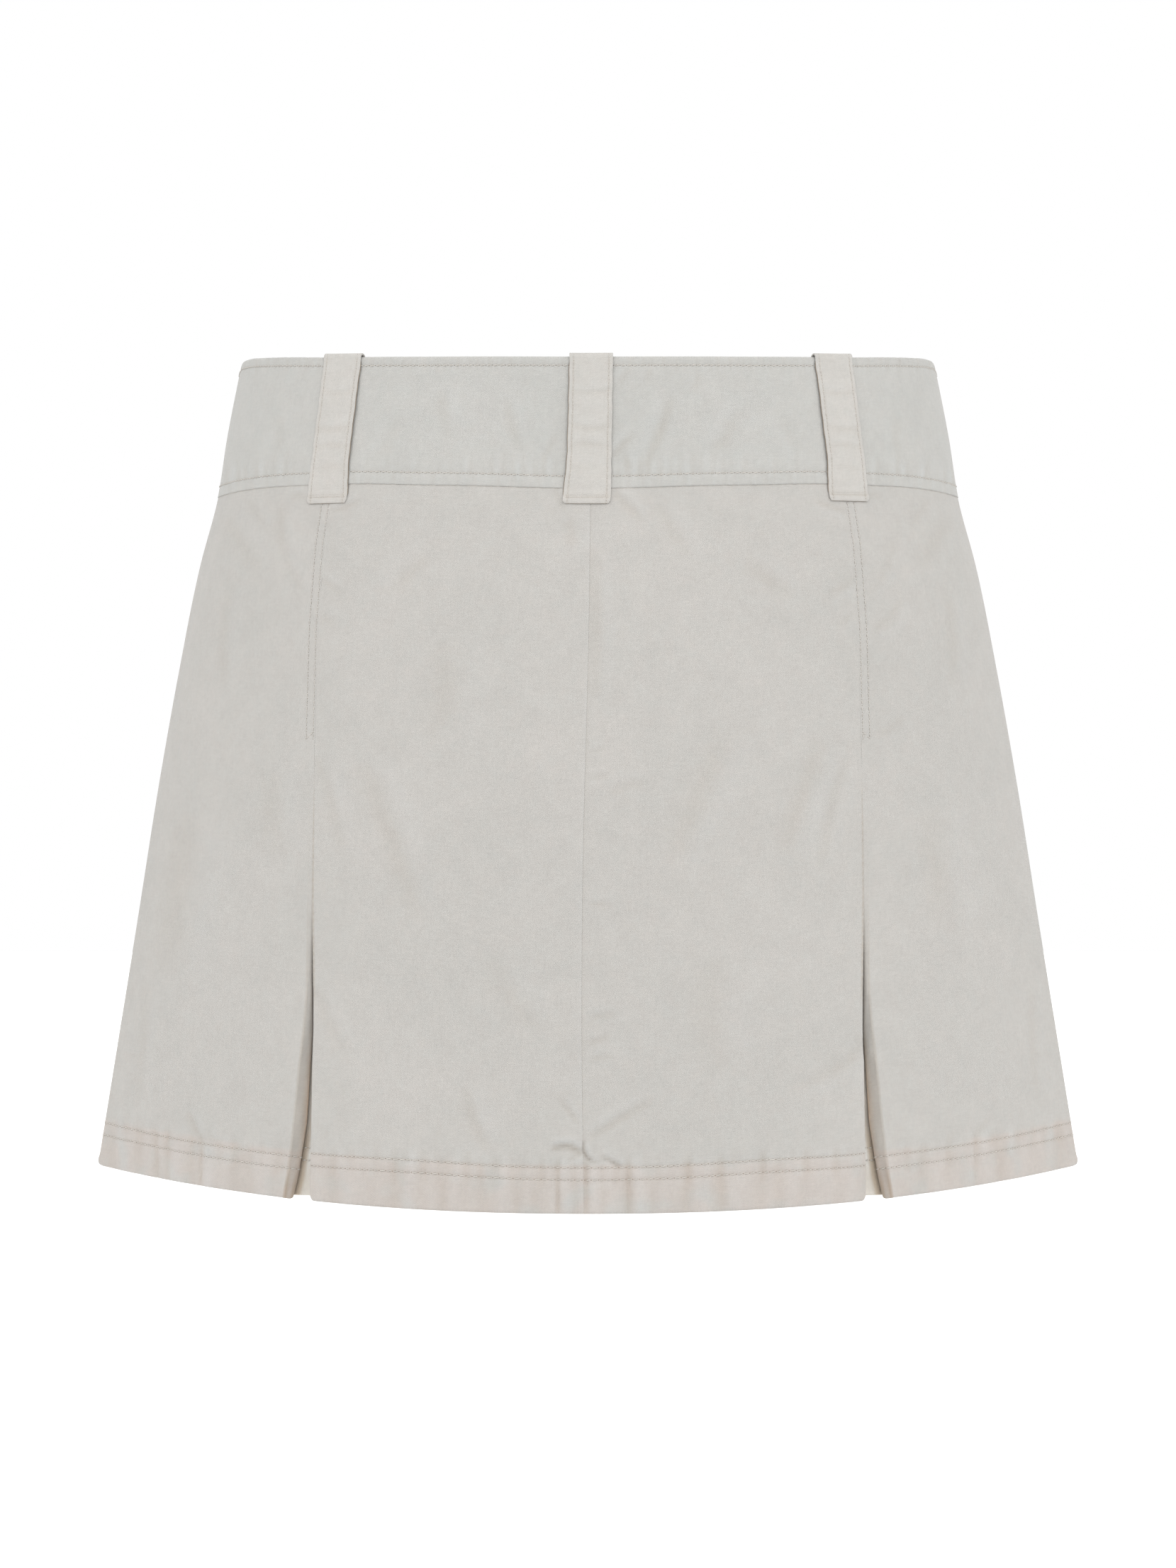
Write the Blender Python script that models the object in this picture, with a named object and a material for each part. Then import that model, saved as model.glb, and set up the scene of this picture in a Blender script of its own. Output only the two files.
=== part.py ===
"""A pleated mini skort in cotton twill, held open at the waist as when it is worn.

Metres, +Z up. The origin is the middle of the waist opening, level with the band's top edge.
The back of the garment faces -Y and its front +Y, so the wearer's left is -X.
Every piece of cloth is a closed wall between an outer and an inner grid of points. Both are
read from one skin: half an ellipse-like ring for the back and one for the front, whose
width, depths and roundness change with height.
"""

import math

import bmesh
import bpy
import numpy as np

# Cloth thicknesses and gaps.
PANEL_WALL = 0.0012
BAND_WALL = 0.0024
LOOP_WALL = 0.0013
SHORTS_WALL = 0.0010
SEAM_GAP = 0.0003
LAYER_GAP = 0.0006

# The skin by height. squareness is the power of the half ring's width, and roundness is 0.5
# for a ring that turns smoothly at the side and 1 for two curves that meet in a crease.
SKIN_COLUMNS = ("z", "half_width", "back_depth", "front_depth", "squareness", "roundness")
SKIN = (
    (0.0060, 0.1494, 0.0985, 0.0920, 3.00, 0.50),
    (-0.0300, 0.1565, 0.1015, 0.0950, 2.95, 0.53),
    (-0.0545, 0.1604, 0.1040, 0.0980, 2.90, 0.57),
    (-0.0840, 0.1682, 0.1085, 0.1015, 2.80, 0.63),
    (-0.1300, 0.1775, 0.1145, 0.1045, 2.72, 0.71),
    (-0.1760, 0.1857, 0.1180, 0.1060, 2.65, 0.79),
    (-0.2380, 0.1955, 0.1180, 0.1065, 2.60, 0.88),
    (-0.3000, 0.2055, 0.1165, 0.1060, 2.57, 0.95),
    (-0.3600, 0.2152, 0.1150, 0.1050, 2.55, 1.00),
)

# The band and the hem. The waist seam and top edge rise a little before the side seams.
BAND_TOP_Z = 0.0004
BAND_HEIGHT = 0.0557
WAVE_COLUMNS = ("share_of_quarter_turn", "top_rise", "seam_rise")
WAVE = (
    (0.00, 0.0000, 0.0000),
    (0.30, 0.0003, 0.0009),
    (0.50, 0.0009, 0.0021),
    (0.65, 0.0021, 0.0028),
    (0.75, 0.0028, 0.0021),
    (0.85, 0.0033, 0.0012),
    (0.93, 0.0029, 0.0007),
    (1.00, 0.0006, 0.0005),
)
BACK_HEM_Z = -0.3585
FRONT_HEM_Z = -0.3530
SIDE_HEM_Z = -0.3444
HEM_RISE_POWER = 2.05

# The back's princess seams, which open into pleats. panel_edge is the folded edge of the
# centre panel, opening is the pleat's width there, turned_in is how much of the side panel's
# edge is bent inwards, and turn is the angle of that bend in degrees. PLEAT_T is about where
# they stand, as a share of the half width.
PLEAT_COLUMNS = ("z", "panel_edge", "opening", "turned_in", "turn")
PLEAT = (
    (-0.0550, 0.1078, SEAM_GAP, 0.0024, 0.0),
    (-0.0780, 0.1112, SEAM_GAP, 0.0024, 0.0),
    (-0.1130, 0.1138, SEAM_GAP, 0.0024, 0.0),
    (-0.1770, 0.1152, SEAM_GAP, 0.0024, 0.0),
    (-0.2250, 0.1153, SEAM_GAP, 0.0025, 8.0),
    (-0.2650, 0.1154, SEAM_GAP, 0.0036, 45.0),
    (-0.2900, 0.1155, 0.0006, 0.0044, 52.0),
    (-0.3190, 0.1160, 0.0026, 0.0050, 56.0),
    (-0.3560, 0.1166, 0.0074, 0.0054, 58.0),
)
PLEAT_T = 0.60
BEND_RADIUS = 0.0025
BEND_CREEP = 0.0004
FACET_EXTRA = 0.0010
SHORTEST_FACET = 0.0004
FOLD_RADIUS = (2 * PANEL_WALL + LAYER_GAP) / 2
CENTRE_RETURN = 0.0240
SIDE_RETURN = 0.0030
UNDERLAY_TOP_Z = -0.1560
UNDERLAY_SHORTER = 0.0022
UNDERLAY_WALL = 0.0010
UNDERLAY_PAST_SIDE = 0.0100
UNDERLAY_STEPS_DOWN_AT = 0.0040

# Belt loops: where the middle of each stands at the top edge and at its sewn lower end. A loop
# stands off the band between the two shares of its height in LOOP_BOW.
LOOP_WIDTH = 0.0187
LOOP_SLACK = 0.0016
LOOP_BELOW_SEAM = 0.0052
LOOP_HOOK = 0.0020
LOOP_HOOK_THINNING = 0.8
LOOP_HEIGHTS = (0.00, 0.10, 0.18, 0.34, 0.50, 0.66, 0.84, 0.97)
LOOP_BOW = (0.12, 0.92)
LOOP_BOW_POWER = 0.7
LOOP_MIDDLE_STAND = 0.45
LOOP_EDGE_STAND = 0.55
LOOP_COLUMNS = ("name", "side", "top_x", "foot_x", "lifted_edge")
LOOPS = (
    ("belt_loop_back_left", -1, -0.1031, -0.1104, 1),
    ("belt_loop_back_centre", -1, 0.0014, -0.0005, -1),
    ("belt_loop_back_right", -1, 0.1032, 0.1104, -1),
    ("belt_loop_front_left", 1, -0.0860, -0.0900, 1),
    ("belt_loop_front_right", 1, 0.0860, 0.0900, -1),
)

# The front closure: a lapped band end and a fly placket, each with two sewn buttons.
LAP_WIDTH = 0.0360
LAP_RAMP_START = 0.09
LAP_RAMP_END = 0.19
FLY_LENGTH = 0.1300
FLY_END_ROUNDING = 0.0120
BUTTON_RADIUS = 0.0085
BUTTON_THICKNESS = 0.0030
BUTTON_RIM_SHARE = 0.24
BUTTON_DISH_SHARE = 0.35
BUTTON_SEAT = 0.0004
BUTTON_HOLE_RADIUS = 0.0010
BUTTON_HOLE_OFFSET = 0.0018
BUTTON_COLUMNS = ("name", "z")
BUTTONS = (
    ("button_band_upper", -0.0150),
    ("button_band_lower", -0.0400),
    ("button_fly_upper", -0.0880),
    ("button_fly_lower", -0.1380),
)

# The inner shorts hang from the band's inner face. leg_centre is how far the section's
# middle has moved out from the garment's middle, so the legs part where it equals
# half the width. own_shape is 0 where the shorts follow the skin, inset from it, and 1
# where they leave it.
SHORTS_MIDLINE_GAP = 0.00015
SHORTS_COLUMNS = ("z", "half_width", "back_depth", "front_depth", "leg_centre", "own_shape", "inset")
SHORTS = (
    (-0.0450, 0.1570, 0.0960, 0.0900, 0.0000, 0.00, 0.0028),
    (-0.0560, 0.1580, 0.0970, 0.0910, 0.0000, 0.00, 0.0046),
    (-0.0750, 0.1610, 0.0990, 0.0920, 0.0000, 0.40, 0.0046),
    (-0.1100, 0.1660, 0.1000, 0.0920, 0.0000, 1.00, 0.0046),
    (-0.1500, 0.1700, 0.0990, 0.0900, 0.0060, 1.00, 0.0046),
    (-0.1800, 0.1720, 0.0940, 0.0870, 0.0230, 1.00, 0.0046),
    (-0.2050, 0.1730, 0.0880, 0.0840, 0.0480, 1.00, 0.0046),
    (-0.2200, 0.1735, 0.0840, 0.0815, 0.0690, 1.00, 0.0046),
    (-0.2290, 0.1738, 0.0820, 0.0800, 0.0800, 1.00, 0.0046),
    (-0.2350, 0.1740, 0.0810, 0.0790, 0.0872, 1.00, 0.0046),
    (-0.2600, 0.1755, 0.0800, 0.0780, 0.0895, 1.00, 0.0046),
    (-0.3000, 0.1775, 0.0800, 0.0780, 0.0915, 1.00, 0.0046),
)

# How finely the walls are divided.
CENTRE_STEPS = 9
SIDE_STEPS = 9
FOLD_STEPS = 4
PANEL_ROWS = 14
BAND_STEPS = 16
BAND_ROWS = 3
FRONT_STEPS = 13
FRONT_ROWS = 11
SHORTS_STEPS = 18
UNDERLAY_ROWS = 9
LAP_STEPS = 2
PLACKET_STEPS = 4
PLACKET_ROWS = 8
BUTTON_SIDES = 24
BUTTON_HOLE_SIDES = 8

# Small steps in t and in z over which slopes are read.
T_STEP = 0.02
Z_STEP = 0.005


def clear_scene():
    for old in list(bpy.data.objects):
        bpy.data.objects.remove(old, do_unlink=True)


def table_column(table, columns, name):
    """One named column of a table as an array."""
    return np.array([row[columns.index(name)] for row in table], float)


def smooth_read(at, places, values):
    """Values between a table's rows, on a cubic through them with no overshoot at its ends."""
    order = np.argsort(places)
    places = places[order]
    values = values[order]
    slopes = np.gradient(values, places)
    at = np.clip(at, places[0], places[-1])
    left = np.clip(np.searchsorted(places, at) - 1, 0, len(places) - 2)
    span = places[left + 1] - places[left]
    s = (at - places[left]) / span
    return (
        (2 * s**3 - 3 * s**2 + 1) * values[left]
        + (s**3 - 2 * s**2 + s) * span * slopes[left]
        + (3 * s**2 - 2 * s**3) * values[left + 1]
        + (s**3 - s**2) * span * slopes[left + 1]
    )


def straight_read(at, places, values):
    order = np.argsort(places)
    return np.interp(at, places[order], values[order])


def skin_value(z, name):
    return smooth_read(z, table_column(SKIN, SKIN_COLUMNS, "z"), table_column(SKIN, SKIN_COLUMNS, name))


def pleat_value(z, name):
    return straight_read(z, table_column(PLEAT, PLEAT_COLUMNS, "z"), table_column(PLEAT, PLEAT_COLUMNS, name))


def shorts_value(z, name):
    places = table_column(SHORTS, SHORTS_COLUMNS, "z")
    return straight_read(z, places, table_column(SHORTS, SHORTS_COLUMNS, name))


def skin_points(t, z, side):
    """Points of the skin in plan: t runs from -1 at the left side seam to 1 at the right one,
    and side is -1 for the back half and 1 for the front half."""
    depth = skin_value(z, "back_depth" if side < 0 else "front_depth")
    inside = np.clip(1 - np.abs(t) ** skin_value(z, "squareness"), 0, None)
    y = side * depth * inside ** skin_value(z, "roundness")
    return np.stack([t * skin_value(z, "half_width"), y], axis=-1)


def edge_rise(t, name):
    """How far one of the band's edges rises at t."""
    share = np.arcsin(np.clip(np.abs(t), 0, 1)) / (math.pi / 2)
    places = table_column(WAVE, WAVE_COLUMNS, "share_of_quarter_turn")
    return smooth_read(share, places, table_column(WAVE, WAVE_COLUMNS, name))


def band_top(t):
    return BAND_TOP_Z + edge_rise(t, "top_rise")


def waist_seam(t):
    return BAND_TOP_Z - BAND_HEIGHT + edge_rise(t, "seam_rise")


def hem(t, side):
    low = BACK_HEM_Z if side < 0 else FRONT_HEM_Z
    return low + (SIDE_HEM_Z - low) * np.abs(t) ** HEM_RISE_POWER


def section_normals(path, side):
    """Unit normals in plan, pointing away from the wearer, along rows of points (rows, columns, 2)."""
    along = np.gradient(path, axis=1)
    normal = np.stack([along[..., 1], -along[..., 0]], axis=-1)
    normal /= np.linalg.norm(normal, axis=-1, keepdims=True)
    toward_outside = np.sign(normal[:, :1, 1:2]) * side
    return normal * np.where(toward_outside == 0, 1, toward_outside)


def wall_object(name, outer, inner, material):
    """A closed wall between two grids of points (rows, columns, 3), with a rim on all four sides."""
    rows, columns = outer.shape[:2]
    mesh_maker = bmesh.new()
    outside = [[mesh_maker.verts.new(p) for p in row] for row in outer]
    inside = [[mesh_maker.verts.new(p) for p in row] for row in inner]
    for r in range(rows - 1):
        for c in range(columns - 1):
            mesh_maker.faces.new((outside[r][c], outside[r][c + 1], outside[r + 1][c + 1], outside[r + 1][c]))
            mesh_maker.faces.new((inside[r][c], inside[r + 1][c], inside[r + 1][c + 1], inside[r][c + 1]))
    for r, step in ((0, 1), (rows - 1, -1)):
        for c in range(columns - 1):
            near, far = (c, c + 1)[::step]
            mesh_maker.faces.new((outside[r][far], outside[r][near], inside[r][near], inside[r][far]))
    for c, step in ((0, -1), (columns - 1, 1)):
        for r in range(rows - 1):
            near, far = (r, r + 1)[::step]
            mesh_maker.faces.new((outside[far][c], outside[near][c], inside[near][c], inside[far][c]))
    bmesh.ops.recalc_face_normals(mesh_maker, faces=mesh_maker.faces)
    return finished_object(name, mesh_maker, material)


def finished_object(name, mesh_maker, material):
    mesh = bpy.data.meshes.new(name)
    mesh_maker.to_mesh(mesh)
    mesh_maker.free()
    mesh.shade_smooth()
    mesh.set_sharp_from_angle(angle=math.radians(50))
    mesh.materials.append(material)
    made = bpy.data.objects.new(name, mesh)
    bpy.context.scene.collection.objects.link(made)
    return made


def plain_material(name, colour, roughness):
    material = bpy.data.materials.new(name)
    material.use_nodes = True
    shader = material.node_tree.nodes["Principled BSDF"]
    shader.inputs["Base Color"].default_value = (*colour, 1)
    shader.inputs["Roughness"].default_value = roughness
    shader.inputs["Metallic"].default_value = 0
    return material


def with_height(plan, z):
    return np.concatenate([plan, z[..., None]], axis=-1)


def end_at_side_seam(plan_outer, plan_inner, column, side):
    """Cuts a wall's end at the side seam's plane, a mitre where the two halves meet in a crease."""
    y = side * SEAM_GAP / 2
    wall = plan_outer[:, column] - plan_inner[:, column]
    thickness = np.linalg.norm(wall, axis=-1)
    mitred = thickness * thickness / np.abs(wall[:, 0])
    plan_outer[:, column, 1] = y
    plan_inner[:, column, 0] = plan_outer[:, column, 0] - np.sign(plan_outer[:, column, 0]) * mitred
    plan_inner[:, column, 1] = y


def waist_to_hem(t, drop, side):
    """Heights of a panel's points, from its edge at the waist seam down to its hem."""
    top = waist_seam(t) - SEAM_GAP
    return top + (hem(t, side) - top) * drop


def settled_rows(t_at, drop, side):
    """t and heights of a panel whose width changes with height, so that each gives the other."""
    z = waist_to_hem(PLEAT_T, drop, side)
    for _ in range(3):
        t = t_at(z)
        z = waist_to_hem(t, drop, side)
    return t, z


# The back's centre panels.


def back_centre_panel(name, hand, material):
    """From the centre back seam to the pleat, where the edge folds under. hand is the side in X, -1 or 1."""
    drop = np.linspace(0, 1, PANEL_ROWS + 1)[:, None]
    across = np.linspace(0, 1, CENTRE_STEPS + 1)[None, :]

    def t_at(z):
        return across * (pleat_value(z, "panel_edge") - FOLD_RADIUS) / skin_value(z, "half_width")

    t, z = settled_rows(t_at, drop, -1)
    plan = skin_points(hand * t, z, -1)
    plan[:, 0, 0] = hand * SEAM_GAP / 2
    normal = section_normals(plan, -1)
    normal[:, 0] = (0, -1)
    outer = [with_height(plan, z)]
    inner = [with_height(plan - normal * PANEL_WALL, z)]
    last = plan[:, -1]
    out = normal[:, -1]
    onward = np.stack([-out[:, 1], out[:, 0]], axis=-1)
    onward *= hand * np.sign(onward[:, :1])
    middle = last - out * FOLD_RADIUS
    for step in range(1, FOLD_STEPS + 1):
        angle = math.pi * step / FOLD_STEPS
        ray = out * math.cos(angle) + onward * math.sin(angle)
        outer.append(with_height(middle + ray * FOLD_RADIUS, z[:, -1])[:, None])
        inner.append(with_height(middle + ray * (FOLD_RADIUS - PANEL_WALL), z[:, -1])[:, None])
    for share in (0.5, 1.0):
        t_back = t[:, -1] - share * CENTRE_RETURN / skin_value(z[:, -1], "half_width")
        z_back = waist_to_hem(t_back, drop[:, 0], -1)
        step_t = np.stack([t_back - T_STEP, t_back, t_back + T_STEP], axis=1)
        strip = skin_points(hand * step_t, np.repeat(z_back[:, None], 3, axis=1), -1)
        out_back = section_normals(strip, -1)[:, 1]
        outer.append(with_height(strip[:, 1] - out_back * 2 * FOLD_RADIUS, z_back)[:, None])
        inner.append(with_height(strip[:, 1] - out_back * (2 * FOLD_RADIUS - PANEL_WALL), z_back)[:, None])
    return wall_object(name, np.concatenate(outer, axis=1), np.concatenate(inner, axis=1), material)


# The back's side panels.


def facet_length(turned_in, turn):
    """Length of the flat between the soft bend and the fold on the side panel's edge."""
    flat = (turned_in - FOLD_RADIUS - BEND_RADIUS * np.sin(turn) - BEND_CREEP) / np.cos(turn)
    return np.maximum(flat + FACET_EXTRA * np.sin(turn), SHORTEST_FACET)


def side_fold_depth(z):
    """How deep below the skin the side panel's bent and folded edge reaches."""
    turn = np.radians(pleat_value(z, "turn"))
    length = facet_length(pleat_value(z, "turned_in"), turn)
    return BEND_RADIUS * (1 - np.cos(turn)) + length * np.sin(turn) + FOLD_RADIUS * (1 + np.cos(turn))


def back_side_panel(name, hand, material):
    """From the side seam to the pleat, where the edge bends inwards and then folds under."""
    drop = np.linspace(0, 1, PANEL_ROWS + 1)[:, None]
    across = np.linspace(1, 0, SIDE_STEPS + 1)[None, :]

    def t_at(z):
        edge = pleat_value(z, "panel_edge") + pleat_value(z, "opening") + pleat_value(z, "turned_in")
        angle = np.arcsin(edge / skin_value(z, "half_width"))
        return np.sin(angle + (math.pi / 2 - angle) * across)

    t, z = settled_rows(t_at, drop, -1)
    plan = skin_points(hand * t, z, -1)
    normal = section_normals(plan, -1)
    inside = plan - normal * PANEL_WALL
    end_at_side_seam(plan, inside, 0, -1)
    outer = [with_height(plan, z)]
    inner = [with_height(inside, z)]
    row_z = z[:, -1]
    out = normal[:, -1]
    onward = np.stack([-out[:, 1], out[:, 0]], axis=-1)
    onward *= -hand * np.sign(onward[:, :1])
    turn = np.radians(pleat_value(row_z, "turn"))[:, None]
    centre = plan[:, -1] - out * BEND_RADIUS
    for share in (0.5, 1.0):
        ray = out * np.cos(turn * share) + onward * np.sin(turn * share)
        creep = onward * BEND_CREEP * share
        outer.append(with_height(centre + creep + ray * BEND_RADIUS, row_z)[:, None])
        inner.append(with_height(centre + creep + ray * (BEND_RADIUS - PANEL_WALL), row_z)[:, None])
    bent_out = out * np.cos(turn) + onward * np.sin(turn)
    bent_onward = onward * np.cos(turn) - out * np.sin(turn)
    length = facet_length(pleat_value(row_z, "turned_in")[:, None], turn)
    last = outer[-1][:, 0, :2] + bent_onward * length
    middle = last - bent_out * FOLD_RADIUS
    for step in range(FOLD_STEPS + 1):
        angle = math.pi * step / FOLD_STEPS
        ray = bent_out * math.cos(angle) + bent_onward * math.sin(angle)
        outer.append(with_height(middle + ray * FOLD_RADIUS, row_z)[:, None])
        inner.append(with_height(middle + ray * (FOLD_RADIUS - PANEL_WALL), row_z)[:, None])
    back = middle - bent_out * FOLD_RADIUS - bent_onward * SIDE_RETURN
    outer.append(with_height(back, row_z)[:, None])
    inner.append(with_height(back + bent_out * PANEL_WALL, row_z)[:, None])
    return wall_object(name, np.concatenate(outer, axis=1), np.concatenate(inner, axis=1), material)


# The pleats' underlays.


def pleat_underlay(name, hand, material):
    """The strip behind both folded edges, which shows where the pleat opens."""
    drop = np.linspace(0, 1, UNDERLAY_ROWS + 1)[:, None]
    low = hem(PLEAT_T, -1) + UNDERLAY_SHORTER
    z = UNDERLAY_TOP_Z + (low - UNDERLAY_TOP_Z) * drop
    edge = pleat_value(z, "panel_edge")
    opening = pleat_value(z, "opening")
    outer_end = opening + pleat_value(z, "turned_in") + UNDERLAY_PAST_SIDE
    places = (
        np.full_like(z, -CENTRE_RETURN),
        np.full_like(z, -CENTRE_RETURN / 2),
        np.full_like(z, -UNDERLAY_STEPS_DOWN_AT),
        (opening - UNDERLAY_STEPS_DOWN_AT) / 2,
        opening,
        (opening + outer_end) / 2,
        outer_end,
    )
    reach = np.concatenate(places, axis=1)
    z = np.repeat(z, reach.shape[1], axis=1)
    t = (edge + reach) / skin_value(z, "half_width")
    plan = skin_points(hand * t, z, -1)
    out = section_normals(plan, -1)
    shallow = 2 * FOLD_RADIUS + SEAM_GAP
    deep = side_fold_depth(z) + 2 * SEAM_GAP
    share = np.clip((reach + UNDERLAY_STEPS_DOWN_AT) / (opening + UNDERLAY_STEPS_DOWN_AT), 0, 1)
    depth = (shallow + (deep - shallow) * share * share * (3 - 2 * share))[..., None]
    outer = with_height(plan - out * depth, z)
    inner = with_height(plan - out * (depth + UNDERLAY_WALL), z)
    return wall_object(name, outer, inner, material)


# The waistband.


def band_wall(name, t, side, lift, material):
    """A stretch of the band from its top edge to the waist seam, moved out by lift."""
    drop = np.linspace(0, 1, BAND_ROWS + 1)[:, None]
    z = band_top(t)[None, :] + (waist_seam(t) - band_top(t))[None, :] * drop
    t = np.repeat(t[None, :], BAND_ROWS + 1, axis=0)
    skin = skin_points(t, z, side)
    normal = section_normals(skin, side)
    outside = skin + normal * lift[None, :, None]
    inside = outside - normal * BAND_WALL
    for column in (0, -1):
        if abs(t[0, column]) > 0.999:
            end_at_side_seam(outside, inside, column, side)
    return wall_object(name, with_height(outside, z), with_height(inside, z), material)


def waistband_back(name, material):
    t = np.sin(np.linspace(-math.pi / 2, math.pi / 2, 2 * BAND_STEPS + 1))
    return band_wall(name, t, -1, np.zeros_like(t), material)


def waistband_front(name, hand, lapped, material):
    """One front half, from the side seam past the centre front. The lapped one lies over the other."""
    past = (LAP_WIDTH / 2) / skin_value(0.0, "half_width")
    angle = np.linspace(math.pi / 2, -math.asin(past), BAND_STEPS + LAP_STEPS + 1)
    t = np.sin(angle)
    share = np.clip((past + LAP_RAMP_END - t) / (LAP_RAMP_END - LAP_RAMP_START), 0, 1)
    lift = (BAND_WALL + SEAM_GAP) * share * share * (3 - 2 * share) if lapped else np.zeros_like(t)
    return band_wall(name, hand * t, 1, lift, material)


# Belt loops.


def belt_loop(name, side, top_x, foot_x, lifted_edge, material):
    """A strip that hooks over the band's top edge, stands a little off the band and is sewn down at
    its foot, just below the waist seam. lifted_edge is the edge that stands off most."""
    top_t = top_x / skin_value(0.0, "half_width")
    top = band_top(top_t)
    foot = waist_seam(top_t) - LOOP_BELOW_SEAM
    height = top - foot
    share = np.array(LOOP_HEIGHTS)
    bow_start, bow_end = LOOP_BOW
    bow = np.sin(np.pi * np.clip((share - bow_start) / (bow_end - bow_start), 0, 1)) ** LOOP_BOW_POWER
    middle_x = foot_x + (top_x - foot_x) * share
    across = np.array([-1.0, 0.0, 1.0])
    z = np.repeat((foot + height * share)[:, None], 3, axis=1)
    width = skin_value(z, "half_width")
    t = middle_x[:, None] / width
    near = skin_points(np.clip(t - T_STEP, -1, 1), z, side)
    far = skin_points(np.clip(t + T_STEP, -1, 1), z, side)
    along = (far - near) / np.linalg.norm(far - near, axis=-1, keepdims=True)
    t = t + across[None, :] * LOOP_WIDTH / 2 * along[..., 0] / width
    skin = skin_points(t, z, side)
    out = np.stack([along[..., 1], -along[..., 0]], axis=-1)
    out *= np.sign(out[:, :1, 1:2]) * side
    stand = LOOP_MIDDLE_STAND + LOOP_EDGE_STAND * lifted_edge * across[None, :]
    lift = (SEAM_GAP + LOOP_SLACK * bow[:, None] * stand)[..., None]
    outer = [with_height(skin + out * (lift + LOOP_WALL), z)]
    inner = [with_height(skin + out * lift, z)]
    over = band_top(t[-1]) + 1.5 * SEAM_GAP
    rest = skin[-1]
    face = out[-1]
    bend_wall = LOOP_HOOK_THINNING * LOOP_WALL
    inner.append(with_height(rest + face * SEAM_GAP, over)[None])
    outer.append(with_height(rest + face * (SEAM_GAP + bend_wall), over + bend_wall)[None])
    inner.append(with_height(rest - face * LOOP_HOOK, over)[None])
    outer.append(with_height(rest - face * LOOP_HOOK, over + LOOP_WALL)[None])
    return wall_object(name, np.concatenate(outer), np.concatenate(inner), material)


# The front.


def front_panel(name, hand, material):
    """From the side seam to the centre front seam, with no pleat."""
    t = np.sin(np.linspace(math.pi / 2, 0, FRONT_STEPS + 1))[None, :]
    z = waist_to_hem(t, np.linspace(0, 1, FRONT_ROWS + 1)[:, None], 1)
    t = np.repeat(t, FRONT_ROWS + 1, axis=0)
    plan = skin_points(hand * t, z, 1)
    normal = section_normals(plan, 1)
    normal[:, -1] = (0, 1)
    plan[:, -1, 0] = hand * SEAM_GAP / 2
    inside = plan - normal * PANEL_WALL
    end_at_side_seam(plan, inside, 0, 1)
    return wall_object(name, with_height(plan, z), with_height(inside, z), material)


def fly_placket(name, material):
    """The strip over the top of the centre front seam that carries the lower buttons."""
    share = np.linspace(-1, 1, PLACKET_STEPS + 1)[None, :]
    x = share * LAP_WIDTH / 2
    top = waist_seam(x / skin_value(BAND_TOP_Z - BAND_HEIGHT, "half_width")) - SEAM_GAP
    rounded = FLY_END_ROUNDING * (1 - np.sqrt(1 - share * share))
    z = top + (rounded - FLY_LENGTH) * np.linspace(0, 1, PLACKET_ROWS + 1)[:, None]
    x = np.repeat(x, PLACKET_ROWS + 1, axis=0)
    plan = skin_points(x / skin_value(z, "half_width"), z, 1)
    out = section_normals(plan, 1)
    outer = with_height(plan + out * (SEAM_GAP + PANEL_WALL), z)
    inner = with_height(plan + out * SEAM_GAP, z)
    return wall_object(name, outer, inner, material)


def add_upright_cylinder(maker, middle, radius, height, sides):
    made = bmesh.ops.create_cone(
        maker, cap_ends=True, segments=sides, radius1=radius, radius2=radius, depth=height
    )
    bmesh.ops.translate(maker, verts=made["verts"], vec=middle)


def button_mesh(material):
    """A round button with a raised rim and four holes, lying on its back at the origin, face up."""
    maker = bmesh.new()
    add_upright_cylinder(maker, (0, 0, BUTTON_THICKNESS / 2), BUTTON_RADIUS, BUTTON_THICKNESS, BUTTON_SIDES)
    face = max(maker.faces, key=lambda f: f.calc_center_median().z)
    bmesh.ops.inset_region(maker, faces=[face], thickness=BUTTON_RADIUS * BUTTON_RIM_SHARE)
    for corner in face.verts:
        corner.co.z -= BUTTON_THICKNESS * BUTTON_DISH_SHARE
    disc = finished_object("button_disc", maker, material)
    drill = bmesh.new()
    for turn in range(4):
        angle = math.pi / 4 + turn * math.pi / 2
        at = (BUTTON_HOLE_OFFSET * math.cos(angle), BUTTON_HOLE_OFFSET * math.sin(angle), 0)
        add_upright_cylinder(drill, at, BUTTON_HOLE_RADIUS, 4 * BUTTON_THICKNESS, BUTTON_HOLE_SIDES)
    holes = finished_object("button_drill", drill, material)
    cut = disc.modifiers.new("holes", "BOOLEAN")
    cut.operation = "DIFFERENCE"
    cut.object = holes
    bpy.context.view_layer.update()
    mesh = bpy.data.meshes.new_from_object(disc.evaluated_get(bpy.context.evaluated_depsgraph_get()))
    for helper in (disc, holes):
        bpy.data.objects.remove(helper, do_unlink=True)
    return mesh


def sewn_button(name, z, mesh):
    """Faces the button forward, along the slope of the cloth it is sewn on."""
    rise = skin_value(z - Z_STEP, "front_depth") - skin_value(z + Z_STEP, "front_depth")
    on_band = z > BAND_TOP_Z - BAND_HEIGHT
    carried = BAND_WALL + SEAM_GAP if on_band else PANEL_WALL + SEAM_GAP
    made = bpy.data.objects.new(name, mesh)
    bpy.context.scene.collection.objects.link(made)
    made.location = (0, skin_value(z, "front_depth") + carried + BUTTON_SEAT, z)
    made.rotation_euler = (-math.pi / 2 + math.atan2(rise, 2 * Z_STEP), 0, 0)
    return made


# The inner shorts.


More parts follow.
